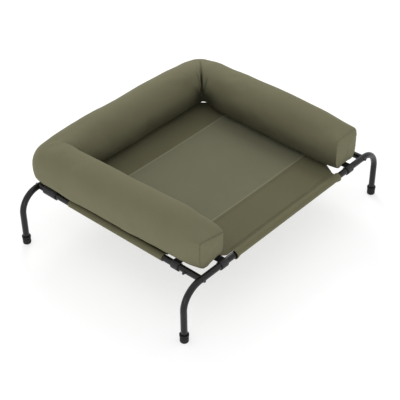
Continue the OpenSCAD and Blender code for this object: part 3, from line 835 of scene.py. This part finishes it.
def seam_and_painted_shade(grid, folds):
    """How dark each point is, from its seam lines and from painted shade.

    Dashes run along the panels' rims, and a line of painted shade runs down the inner corner seams; the
    creases, the inner foot and the sides of the inner corners get soft painted shade.
    """
    p = grid.points
    at_right = p[..., 0] > 0
    turn = np.arange(grid.columns) / grid.columns
    dashes = 0.72 + 0.28 * np.sin(turn * 2 * np.pi * 43)
    rim = np.where(at_right, 0.12, 0.55) * bump(from_rim(grid), 0.0019) * dashes
    # Line down the inner corner seams: painted shade in the seam's crease, darker towards its foot
    line = 0.45 + 0.45 * smooth((0.345 - p[..., 2]) / 0.03)
    line_from = np.where(at_right, -0.012, 0.05)
    corner = line * bump(grid.from_seam, 0.0034) * smooth((grid.inward - line_from) / 0.02)
    # Painted shade in the fold valleys, darker where a valley is deeper
    crease = CREASE_PAINTED_SHADE * np.clip(-folds / 0.005, 0, 1)
    # Painted shade: the inner side darkens towards its foot, where the bed gives back little light
    inside = smooth((grid.inward - 0.010) / 0.03)
    shade_top = np.where(at_right, 0.328, 0.318)
    foot = FOOT_PAINTED_SHADE * smooth((shade_top - p[..., 2]) / 0.100) * inside
    # Painted shade beside the inner corner seams, wide and strong at the right back corner and faint at the
    # left
    reach = np.where(beside_back(p), 0.028, 0.040)
    right_shade = CORNER_PAINTED_SHADE * bump(grid.from_seam, reach)
    beside = np.where(at_right, right_shade, 0.25 * bump(grid.from_seam, 0.05))
    deep = beside * smooth((np.where(at_right, 0.322, 0.305) - p[..., 2]) / 0.07) * inside
    return np.clip(rim + corner + crease + foot + deep, 0, 1)


def corner_gathers(grid, normals):
    """Small upright creases where the outer corners tuck under: waves, strongest near the base."""
    p = grid.points
    turn = np.arctan2(p[..., 1] - SPINE_Y, np.abs(p[..., 0]) - ARM_X)
    where = smooth((0.262 - p[..., 2]) / 0.03) * smooth((p[..., 2] - 0.214) / 0.01)
    where = where * smooth((turn + 0.35) / 0.3) * smooth((2.0 - turn) / 0.3)
    outside = (np.abs(p[..., 0]) > ARM_X) | (p[..., 1] > SPINE_Y)
    waves = np.sin(turn * 11 + 0.6) + 0.6 * np.sin(turn * 19 + 2.0)
    return normals * (GATHER * waves * where * outside)[..., None]


cover = fine.points + settled_moves()
cover_normals = grid_normals(cover)
folds = fold_height(fine)
cover = (cover + soft_dents(fine, cover_normals) + cover_normals * folds[..., None]
         + corner_hollow(fine) + end_seams(fine, cover_normals) + corner_gathers(fine, cover_normals))
# Darkness of each point of the cover: seam lines and painted shade
cover_seams_and_shade = seam_and_painted_shade(fine, folds)


def cover_piece(name, low, high):
    """Piece of the cover from one row to another, mapped by its unrolled length and its outline."""
    rows = slice(low, high + 1)
    along = np.hstack([fine.along[rows], fine.along[rows, :1]])
    around = np.broadcast_to(np.arange(fine.columns + 1) / fine.columns * ROUND, along.shape)
    return subdivide(grid_piece(name, cover[rows], np.stack([along, around], -1), bolster_cloth,
                                wrap=True, flip=True, seam=cover_seams_and_shade[rows]))


def panel_piece(name, rows, seam):
    """End panel from its rows, middle first, closed at its middle, and mapped by X and Z."""
    count = rows.shape[1]
    faces = [list(f) for f in grid_faces(len(rows), count, True)] + [list(range(count))[::-1]]
    flat = rows.reshape(-1, 3)[:, [0, 2]]
    places = np.concatenate([flat[np.array(f)] for f in faces])
    # seam carries the panel's seam dashes and painted shade
    return subdivide(make_piece(name, rows, faces, places, bolster_cloth, seam=seam))


left_cover = cover_piece("cover_left", fine.first, fine.second)
back_cover = cover_piece("cover_back", fine.second, fine.third)
right_cover = cover_piece("cover_right", fine.third, fine.fourth)
left_end = panel_piece("cover_end_left", cover[:fine.first + 1], cover_seams_and_shade[:fine.first + 1])
right_end = panel_piece("cover_end_right", cover[fine.fourth:][::-1], cover_seams_and_shade[fine.fourth:][::-1])
left_end.data.flip_normals()
for piece, stands_for in (
        (left_cover, ("bolster_left", "fill_left")), (back_cover, ("bolster_back", "fill_back")),
        (right_cover, ("bolster_right", "fill_right")), (left_end, ("end_panel_left",)),
        (right_end, ("end_panel_right",))):
    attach(piece, "bolster")
    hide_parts(*stands_for)


# Bed


def bed_level(x, y):
    """Height of the bed: the rails' level, less a shallow bowl that is deepest in the middle."""
    across = np.clip(1 - (x / (RAIL_X - HEM)) ** 2, 0, 1)
    length = np.clip(1 - ((y - MIDDLE_Y) / ((BACK_Y - FRONT_Y) / 2 - HEM)) ** 2, 0, 1)
    return RAIL_Z - BED_SAG * across * length


def sleeve_path():
    """Profile of a sleeve, inward and up: from the hem under the tube, round it, to the hem above.

    The upper wall is a tangent from the hem to a circle about the tube.
    """
    lean = math.acos(SLEEVE_R / HEM)
    turn = -np.linspace(lean, 2 * np.pi - lean, SLEEVE_STEPS)
    ring = np.stack([SLEEVE_R * np.cos(turn), SLEEVE_R * np.sin(turn)], -1)
    share = np.linspace(0, 1, 9)[:-1, None]
    low = np.array([HEM - 0.001, -0.005]) * (1 - share) + ring[0] * share
    high = ring[-1] * (1 - share[1:]) + np.array([HEM, CLOTH_T / 2]) * share[1:]
    return np.concatenate([low, ring, high])


def path_length(path):
    """Distance along a path to each of its points."""
    return np.concatenate([[0], np.cumsum(np.linalg.norm(np.diff(path, axis=0), axis=1))])


def edge_at(inward, start, pull, finish):
    """Distance of a free corner edge from the side rail, at each distance inward from the long rail.

    The edge is a curve with three points: it leaves start towards pull and arrives at finish from there.
    """
    t = np.linspace(0, 1, 60)[:, None]
    curve = (1 - t) ** 2 * np.array(start) + 2 * t * (1 - t) * np.array(pull) + t ** 2 * np.array(finish)
    return np.interp(inward, curve[:, 1], curve[:, 0])


FRONT_LEFT_EDGE = ((0.154, 0.010), (0.112, 0.020), (FLANGE, 0.150))
FRONT_RIGHT_EDGE = ((0.150, 0.008), (0.116, 0.085), (FLANGE, 0.150))
BACK_EDGE = ((0.156, 0.010), (0.080, 0.050), (FLANGE, 0.138))


def strip_piece(name, node, rail_y, inward, reach, edges):
    """Cloth strip with its sleeve: the sleeve's profile, then the bed's level to the mesh, carried along X.

    inward is 1 for the front strip and -1 for the back one, and reach is where the mesh begins. The two free
    edges limit each row, and the last stretch rises a little where the strip laps over the mesh.
    """
    sleeve = sleeve_path()
    flat = np.linspace(HEM, reach + LAP, 40)[1:]
    distance = np.concatenate([sleeve[:, 0], flat])
    row_share = np.concatenate([np.zeros(len(sleeve)), np.ones(len(flat))])[:, None]
    in_sleeve = np.arange(len(distance)) < len(sleeve)
    inside = np.where(in_sleeve & (np.arange(len(distance)) < len(sleeve) - 8), 0, np.maximum(distance, 0))
    limits = [RAIL_X - edge_at(inside, *e) for e in edges]
    share = np.linspace(0, 1, STRIP_COLUMNS)
    x = -limits[0][:, None] * (1 - share) + limits[1][:, None] * share
    y = rail_y + inward * distance[:, None] + 0 * x
    lap = CLOTH_T * smooth((distance - reach + 0.010) / 0.004)[:, None]
    sleeve_z = np.concatenate([sleeve[:, 1], np.zeros(len(flat))])[:, None]
    z = np.where(row_share > 0, bed_level(x, y) + lap, RAIL_Z + sleeve_z)
    around = path_length(np.stack([distance, z.mean(axis=1)], -1))
    points = np.stack([x, y, z], -1)
    for k in range(3):
        points[1:-1, :, 2] = np.where((distance[1:-1] > 0.014)[:, None],
                                      (points[:-2, :, 2] + 2 * points[1:-1, :, 2] + points[2:, :, 2]) / 4,
                                      points[1:-1, :, 2])
    upper = (np.arange(len(distance)) > len(sleeve) - 9)[:, None]
    drift = HEM_DRIFT * smooth((x - 0.14) / 0.12) * (inward > 0)
    points[..., 2] -= HEM_DEPTH * bump(distance[:, None] - HEM - drift, 0.0050) * upper
    from_end = np.minimum(x + limits[0][:, None], limits[1][:, None] - x)
    flare = MOUTH_FLARE * smooth(1 - from_end / MOUTH_RUN) * smooth((0.016 - distance) / 0.016)[:, None]
    flare = flare * in_sleeve[:, None]
    out = unit(np.stack([distance, sleeve_z[:, 0]], -1))[:, None]
    points[..., 1:] += flare[..., None] * out * np.array([inward, 1])
    uv = np.stack([x, np.broadcast_to(around[:, None], x.shape)], -1)
    # Painted light on the sleeve where it wraps the tube
    sleeve_painted_light = np.broadcast_to(smooth((0.012 - distance) / 0.004)[:, None] * SLEEVE_PAINTED_LIGHT, x.shape)
    piece = grid_piece(name, points, uv, bed_cloth, flip=inward > 0, pale=sleeve_painted_light)
    thicken(subdivide(piece), CLOTH_T)
    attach(piece, "frame")
    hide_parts(node)


strip_piece("bed_front_cloth", "front_strip", FRONT_Y, 1, FRONT_STRIP, (FRONT_LEFT_EDGE, FRONT_RIGHT_EDGE))
strip_piece("bed_back_cloth", "back_strip", BACK_Y, -1, BACK_STRIP, (BACK_EDGE, BACK_EDGE))


def mesh_piece():
    """Middle of the bed: the bed's level between the two strips and the side flanges, on an even grid.

    Its edge along each strip is doubled, so it is a little higher and paler there.
    """
    x, y = np.meshgrid(np.linspace(-RAIL_X + FLANGE - 0.004, RAIL_X - FLANGE + 0.004, MESH_GRID[0]),
                       np.linspace(FRONT_Y + FRONT_STRIP - 0.008, BACK_Y - BACK_STRIP + 0.008, MESH_GRID[1]))
    points = np.stack([x, y, bed_level(x, y)], -1)
    to_strip = np.minimum(y - FRONT_Y - FRONT_STRIP, BACK_Y - BACK_STRIP - y)
    doubled = smooth((MESH_HEM - to_strip) / 0.003)
    points[..., 2] += 0.0006 * doubled
    piece = grid_piece("bed_mesh_cloth", points, np.stack([x, y], -1), bed_mesh, pale=doubled)
    thicken(subdivide(piece), CLOTH_T)
    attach(piece, "frame")
    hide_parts("mesh_panel")


mesh_piece()


def side_piece(name, side, node):
    """Side sleeve: the sleeve's profile and its flange, carried along Y between the sleeve's ends."""
    sleeve = sleeve_path()
    flat = np.linspace(HEM, FLANGE + LAP, 6)[1:]
    distance = np.concatenate([sleeve[:, 0], flat])[:, None]
    height = np.concatenate([sleeve[:, 1], np.full(len(flat), CLOTH_T)])[:, None]
    y = np.linspace(FRONT_Y + SLEEVE_STOP, BACK_Y - SLEEVE_STOP, SIDE_COLUMNS)[None, :] + 0 * distance
    x = side * (RAIL_X - distance) + 0 * y
    points = np.stack([x, y, RAIL_Z + height + 0 * y], -1)
    around = path_length(np.hstack([distance, height]))
    uv = np.stack([y, np.broadcast_to(around[:, None], y.shape)], -1)
    piece = grid_piece(name, points, uv, bed_cloth, flip=side > 0)
    thicken(subdivide(piece), CLOTH_T)
    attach(piece, "frame")
    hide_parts(node)


side_piece("bed_sleeve_left", -1, "left_sleeve")
side_piece("bed_sleeve_right", 1, "right_sleeve")


# Straps

# Webbing: its thickness, its gap to the tube, the tongue's length, where the wrap starts and ends, where the
# tail starts and how far it turns, in degrees, and how far the tail's tip lifts
STRAP_T = 0.0019
STRAP_GAP = 0.0004
TONGUE = 0.048
WRAP = (90, 388)
TAIL_FROM = 118
TAIL_TURN = 148
TAIL_LIFT = 0.0030


def ribbon(path, width, depth):
    """Flat strap along a path of inward and upward places: a rounded rectangle carried along it.

    Returns points on a grid, with the strap's width along the rail, and their map.
    """
    half, edge = width / 2, depth / 2
    turn = np.linspace(-np.pi / 2, np.pi / 2, 4)
    side = np.stack([half - edge + edge * np.cos(turn), edge * np.sin(turn)], -1)
    top = np.linspace(half - edge, -half + edge, 7)[1:-1]
    outline = np.concatenate([side, np.stack([top, np.full(5, edge)], -1), -side,
                              np.stack([-top, np.full(5, -edge)], -1)])
    ahead = unit(np.gradient(path, axis=0))
    out = np.stack([-ahead[:, 1], ahead[:, 0]], -1)
    rows = path[:, None] + out[:, None] * outline[None, :, 1:2]
    across = np.broadcast_to(outline[None, :, 0], rows.shape[:2])
    points = np.concatenate([across[..., None], rows], -1)
    for end in (0, -1):
        points[end, :, 0] *= 0.985
    length = path_length(path)
    closed = np.concatenate([outline[:, 0], outline[:1, 0]])
    uv = np.stack(np.broadcast_arrays(length[:, None], closed[None, :]), -1)
    return points, uv


def strap_piece(name, place, turn, width):
    """Strap: a tongue under the bolster, one wrap round the tube, and a tail over it with a lifted tip."""
    r = TUBE_R + STRAP_GAP + STRAP_T / 2
    angle = np.radians(np.linspace(*WRAP, 46))
    tongue = np.stack([np.linspace(TONGUE, 0.0, 10)[:-1], np.full(9, r)], -1)
    wrap = np.stack([r * np.cos(angle), r * np.sin(angle)], -1)
    tail_turn = np.linspace(0, 1, 26)
    tail_angle = np.radians(TAIL_FROM + TAIL_TURN * tail_turn)
    lift = r + STRAP_T + 0.0001 + TAIL_LIFT * smooth((tail_turn - 0.72) / 0.28)
    tail = np.stack([lift * np.cos(tail_angle), lift * np.sin(tail_angle)], -1)
    points, faces, places, start = [], [], [], 0
    for path, share in ((np.concatenate([tongue, wrap]), 1.0), (tail, 0.94)):
        grid, uv = ribbon(path, width * share, STRAP_T)
        count = grid.shape[1]
        rows = [list(f) for f in grid_faces(len(grid), count, True) + start]
        ends = [list(range(start, start + count))[::-1],
                list(range(start + (len(grid) - 1) * count, start + len(grid) * count))]
        faces += rows + ends
        places.append(uv.reshape(-1, 2)[grid_faces(len(grid), count + 1)].reshape(-1, 2))
        places.append(np.zeros((2 * count, 2)))
        points.append(grid.reshape(-1, 3))
        start += grid.shape[0] * count
    flat = np.concatenate(points)
    c, s = math.cos(turn), math.sin(turn)
    world = np.stack([place[0] + c * flat[:, 0] - s * flat[:, 1], place[1] + s * flat[:, 0] + c * flat[:, 1],
                      RAIL_Z + flat[:, 2]], -1)
    piece = make_piece("webbing_" + name, world, faces, np.concatenate(places), strap_black)
    piece.data.flip_normals()
    # The tongue's hook tape, near black as painted shade under the bolster
    piece.data.materials.append(hook_tape_and_shade)
    on_tongue = np.zeros(len(faces), np.int32)
    on_tongue[:len(tongue) * grid.shape[1]] = 1
    piece.data.polygons.foreach_set("material_index", on_tongue)
    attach(piece, "frame")
    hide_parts(name)


QUARTER = math.pi / 2
STRAPS = {
    "strap_front_left": ((-RAIL_X + 0.098, FRONT_Y), 0, 0.030),
    "strap_front_right": ((RAIL_X - 0.087, FRONT_Y), 0, 0.030),
    "strap_left_front": ((-RAIL_X, FRONT_Y + 0.103), -QUARTER, 0.030),
    "strap_left_back": ((-RAIL_X, BACK_Y - 0.062), -QUARTER, 0.062),
    "strap_right_front": ((RAIL_X, FRONT_Y + 0.103), QUARTER, 0.030),
    "strap_right_back": ((RAIL_X, BACK_Y - 0.062), QUARTER, 0.062),
    "strap_back_left": ((-RAIL_X + 0.100, BACK_Y), 2 * QUARTER, 0.030),
    "strap_back_right": ((RAIL_X - 0.100, BACK_Y), 2 * QUARTER, 0.030)}
for name, (place, turn, width) in STRAPS.items():
    strap_piece(name, place, turn, width)


# Stitches

STITCH_RINGS = 7
STITCH_SIDES = 6
STITCH_PITCH = 0.0042
STITCH_LEN = 0.0034
UP = (0.0, 0.0, 1.0)


def stitch_shape():
    """One stitch, 1 long along X: a thread that rises from the cloth and dives back, as rings."""
    share = np.linspace(0, 1, STITCH_RINGS)
    turn = np.arange(STITCH_SIDES) / STITCH_SIDES * 2 * np.pi
    thick = 0.12 * np.sqrt(np.clip(1 - (2 * share - 1) ** 4, 0.02, 1))
    y = thick[:, None] * np.cos(turn)
    z = thick[:, None] * np.sin(turn) + (0.10 * np.sin(np.pi * share) - 0.06)[:, None]
    x = np.broadcast_to(share[:, None] - 0.5, y.shape)
    return np.stack([x, y, z], -1)


def stitch_rows(name, lines, pitch, length, body):
    """Rows of stitches along lines of points with their normals, one at each pitch, turned along them."""
    shape = stitch_shape()
    count = STITCH_RINGS * STITCH_SIDES
    sides = grid_faces(STITCH_RINGS, STITCH_SIDES, True)
    ends = np.array([range(STITCH_SIDES - 1, -1, -1), range(count - STITCH_SIDES, count)])
    points = []
    for line, normal in lines:
        at = path_length(line)
        places = np.arange(pitch / 2, at[-1], pitch)
        centre = np.stack([np.interp(places, at, line[:, k]) for k in range(3)], -1)
        ahead = unit(np.stack([np.interp(places, at, np.gradient(line[:, k], at)) for k in range(3)], -1))
        up = unit(np.stack([np.interp(places, at, normal[:, k]) for k in range(3)], -1))
        side = unit(np.cross(up, ahead))
        local = shape.reshape(-1, 3) * length
        turned = local[None, :, :1] * ahead[:, None] + local[None, :, 1:2] * side[:, None]
        points.append((centre[:, None] + turned + local[None, :, 2:] * up[:, None]).reshape(-1, 3))
    flat = np.concatenate(points)
    number = len(flat) // count
    first = np.arange(number)[:, None, None] * count
    faces = (sides + first).reshape(-1, 4).tolist() + (ends + first).reshape(-1, STITCH_SIDES).tolist()
    piece = make_piece(name, flat, faces, None, seam_thread)
    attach(piece, body)


def bed_line(y, low, high, lift):
    """Line on the bed at Y between two places along X, lifted above its level, with its normals."""
    x = np.linspace(low, high, 160)
    line = np.stack([x, np.full(160, y), bed_level(x, np.full(160, y)) + lift], -1)
    return line, np.broadcast_to(UP, line.shape)


lap_lift = CLOTH_T + CLOTH_T / 2
wide = RAIL_X - FLANGE - 0.002
bed_lines = [bed_line(FRONT_Y + FRONT_STRIP + k, -wide, wide, lap_lift) for k in (-0.004, 0.003)]
bed_lines += [bed_line(BACK_Y - BACK_STRIP - k, -wide, wide, lap_lift) for k in (-0.004, 0.003)]
hem_half = RAIL_X - SLEEVE_STOP - 0.004
bed_lines += [bed_line(FRONT_Y + HEM + 0.009, -hem_half, 0.13, CLOTH_T),
              bed_line(BACK_Y - HEM - 0.009, -hem_half, hem_half, CLOTH_T)]
for side in (-1, 1):
    y = np.linspace(FRONT_Y + SLEEVE_STOP + 0.004, BACK_Y - SLEEVE_STOP - 0.004, 90)
    for distance in (HEM + 0.002, FLANGE + 0.002):
        line = np.stack([np.full(90, side * (RAIL_X - distance)), y, np.full(90, RAIL_Z + 0.0022)], -1)
        bed_lines.append((line, np.broadcast_to(UP, line.shape)))
stitch_rows("bed_stitches", bed_lines, STITCH_PITCH, STITCH_LEN, "frame")


# Zip


def zip_place(along, out, up):
    """Points of the zip's frame: along X, out of the cover and up its slope, turned back by the zip's
    lean.
    """
    c, s = math.cos(ZIP_LEAN), math.sin(ZIP_LEAN)
    return np.stack([along, ZIP_Y + out * c + up * s, ZIP_Z - out * s + up * c], -1)


def zip_pieces():
    """Zip tape with a raised edge beside its teeth, and two rows of teeth that mesh along its middle."""
    across = np.array([-1, -0.97, -0.6, -0.36, -0.30, 0.30, 0.36, 0.6, 0.97, 1]) * ZIP_HALF_W
    height = np.array([-0.0006, 0.0007, 0.0008, 0.0008, 0.0003, 0.0003, 0.0008, 0.0008, 0.0007, -0.0006])
    along = np.linspace(-ZIP_HALF, ZIP_HALF, 120)
    grid_x, grid_up = np.meshgrid(along, across, indexing="ij")
    out = np.broadcast_to(height, grid_x.shape)
    points = zip_place(grid_x, out, grid_up)
    tape = grid_piece("zip_tape_cloth", points, np.stack([grid_x, grid_up], -1), zip_tape_black, flip=True)
    thicken(tape, TAPE_T, -1.0)
    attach(tape, "bolster")
    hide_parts("zip_tape")
    places = np.arange(-ZIP_HALF + 0.004, ZIP_HALF - 0.004, TOOTH_PITCH)
    corners = np.array([[-0.45, -1, 0], [0.45, -1, 0], [0.45, 1, 0], [-0.45, 1, 0],
                        [-0.32, -0.9, 1], [0.32, -0.9, 1], [0.32, 0.9, 1], [-0.32, 0.9, 1]])
    box = np.array([[3, 2, 1, 0], [4, 5, 6, 7], [0, 1, 5, 4], [1, 2, 6, 5], [2, 3, 7, 6], [3, 0, 4, 7]])
    teeth = []
    for side in (-1, 1):
        x = places[:, None] + side * TOOTH_PITCH / 4 + corners[None, :, 0] * TOOTH_PITCH * 0.55
        up = side * 0.00055 + corners[None, :, 1] * TOOTH_HALF_W + 0 * x
        out = TOOTH_BASE + corners[None, :, 2] * TOOTH_H + 0 * x
        teeth.append(zip_place(x, out, up).reshape(-1, 3))
    flat = np.concatenate(teeth)
    faces = (box[None] + np.arange(len(flat) // 8)[:, None, None] * 8).reshape(-1, 4)
    row = make_piece("zip_teeth", flat, faces, None, zip_teeth_black)
    row.data.flip_normals()
    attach(row, "bolster")


zip_pieces()


# Finishes of the solids that show


def finish_nodes(names, material):
    """Gives each of these solids one finish."""
    for name in names:
        data = nodes[name].data
        data.materials.clear()
        data.materials.append(material)


corners = ("front_left", "front_right", "back_left", "back_right")
finish_nodes(["leg_" + c for c in corners], frame_black)
finish_nodes(["front_rail", "back_rail", "left_rail", "right_rail"], frame_black)
finish_nodes(["foot_" + c for c in corners], foot_rubber)
finish_nodes(["corner_bolts", "insert_screws"], bolt_black)
finish_nodes(["rail_inserts"], plug_nylon)
finish_nodes(["zip_slider", "zip_pull"], zip_metal)
finish_nodes(["strap_pads"], fibre("pad_black", (0.02, 0.02, 0.02)))


# Stage, light and camera


def seen_directly(tree):
    """1 for rays from the camera, from gloss or through glass, and 0 for the light that falls on things."""
    path = add(tree, "ShaderNodeLightPath")
    through = maths(tree, "MAXIMUM", path.outputs["Is Glossy Ray"], path.outputs["Is Transmission Ray"])
    return maths(tree, "MAXIMUM", path.outputs["Is Camera Ray"], through)


# The floor's own light on the things above it, and how much of its shade the camera doesn't see
FLOOR_GLOW = 0.32
FLOOR_LIFT = 0.5
FLOOR_HALF = 9.0
FLOOR_Z = -0.0004
WHITE = (1.0, 1.0, 1.0, 1.0)
floor_points = [(x * FLOOR_HALF, y * FLOOR_HALF, FLOOR_Z) for x, y in ((-1, -1), (1, -1), (1, 1), (-1, 1))]
floor = make_piece("floor", floor_points, [[0, 1, 2, 3]])
floor_paint, floor_tree = start_material("floor_paint")
matt = add(floor_tree, "ShaderNodeBsdfDiffuse", {"Color": (0.93, 0.93, 0.93, 1.0)})
pale = add(floor_tree, "ShaderNodeEmission", {"Color": WHITE, "Strength": 1.25})
direct = seen_directly(floor_tree)
glow = add(floor_tree, "ShaderNodeEmission", {
    "Color": WHITE,
    "Strength": maths(floor_tree, "MULTIPLY", maths(floor_tree, "SUBTRACT", 1.0, direct), FLOOR_GLOW)})
lit = add(floor_tree, "ShaderNodeAddShader", {0: matt.outputs[0], 1: glow.outputs[0]})
lift = maths(floor_tree, "MULTIPLY", direct, FLOOR_LIFT)
shown = add(floor_tree, "ShaderNodeMixShader", {0: lift, 1: lit.outputs[0], 2: pale.outputs[0]})
add(floor_tree, "ShaderNodeOutputMaterial", {"Surface": shown.outputs[0]})
floor.data.materials.append(floor_paint)

world = bpy.data.worlds.new("studio")
bpy.context.scene.world = world
world.use_nodes = True
sky = world.node_tree
sky.nodes.clear()
direction = add(sky, "ShaderNodeTexCoord").outputs["Generated"]
upward = add(sky, "ShaderNodeSeparateXYZ", {0: direction}).outputs[2]
level = add(sky, "ShaderNodeMapRange", {0: upward, 1: 0.0, 2: 1.0, 3: 0.62, 4: 0.96}).outputs[0]
soft = add(sky, "ShaderNodeBackground", {"Color": WHITE, "Strength": level})
white = add(sky, "ShaderNodeBackground", {"Color": WHITE, "Strength": 1.0})
both = add(sky, "ShaderNodeMixShader", {0: seen_directly(sky), 1: soft.outputs[0], 2: white.outputs[0]})
add(sky, "ShaderNodeOutputWorld", {"Surface": both.outputs[0]})


def area_lamp(name, place, target, size, power):
    """Square soft lamp at a place, facing a target."""
    data = bpy.data.lights.new(name, "AREA")
    data.shape = "SQUARE"
    data.size = size
    data.energy = power
    lamp = bpy.data.objects.new(name, data)
    lamp.location = place
    ahead = np.array(target, float) - np.array(place, float)
    lamp.rotation_mode = "QUATERNION"
    lamp.rotation_quaternion = Vector(ahead).to_track_quat("-Z", "Y")
    bpy.context.scene.collection.objects.link(lamp)
    return lamp


area_lamp("key_lamp", (1.6, 2.1, 2.6), (0.0, 0.0, 0.2), 1.2, 33.0)
area_lamp("side_lamp", (-2.1, -0.9, 0.55), (-0.3, -0.1, 0.25), 0.6, 3.0)

AZIMUTH = math.radians(-47.99)
ELEVATION = math.radians(36.96)
ROLL = math.radians(-0.69)
EYE = (-2.2167, -1.99515, 2.3129)
FOCAL_PIXELS = 1049.79
PICTURE = 400
back = np.array([math.sin(AZIMUTH) * math.cos(ELEVATION), -math.cos(AZIMUTH) * math.cos(ELEVATION),
                 math.sin(ELEVATION)])
level_right = np.array([math.cos(AZIMUTH), math.sin(AZIMUTH), 0.0])
level_up = np.cross(back, level_right)
right = math.cos(ROLL) * level_right + math.sin(ROLL) * level_up
up = -math.sin(ROLL) * level_right + math.cos(ROLL) * level_up
camera_data = bpy.data.cameras.new("camera")
camera_data.sensor_width = 36.0
camera_data.lens = 36.0 * FOCAL_PIXELS / PICTURE
camera = bpy.data.objects.new("camera", camera_data)
camera.matrix_world = Matrix([[right[k], up[k], back[k], EYE[k]] for k in range(3)] + [[0, 0, 0, 1]])
bpy.context.scene.collection.objects.link(camera)
bpy.context.scene.camera = camera
bpy.context.scene.view_settings.view_transform = "Standard"
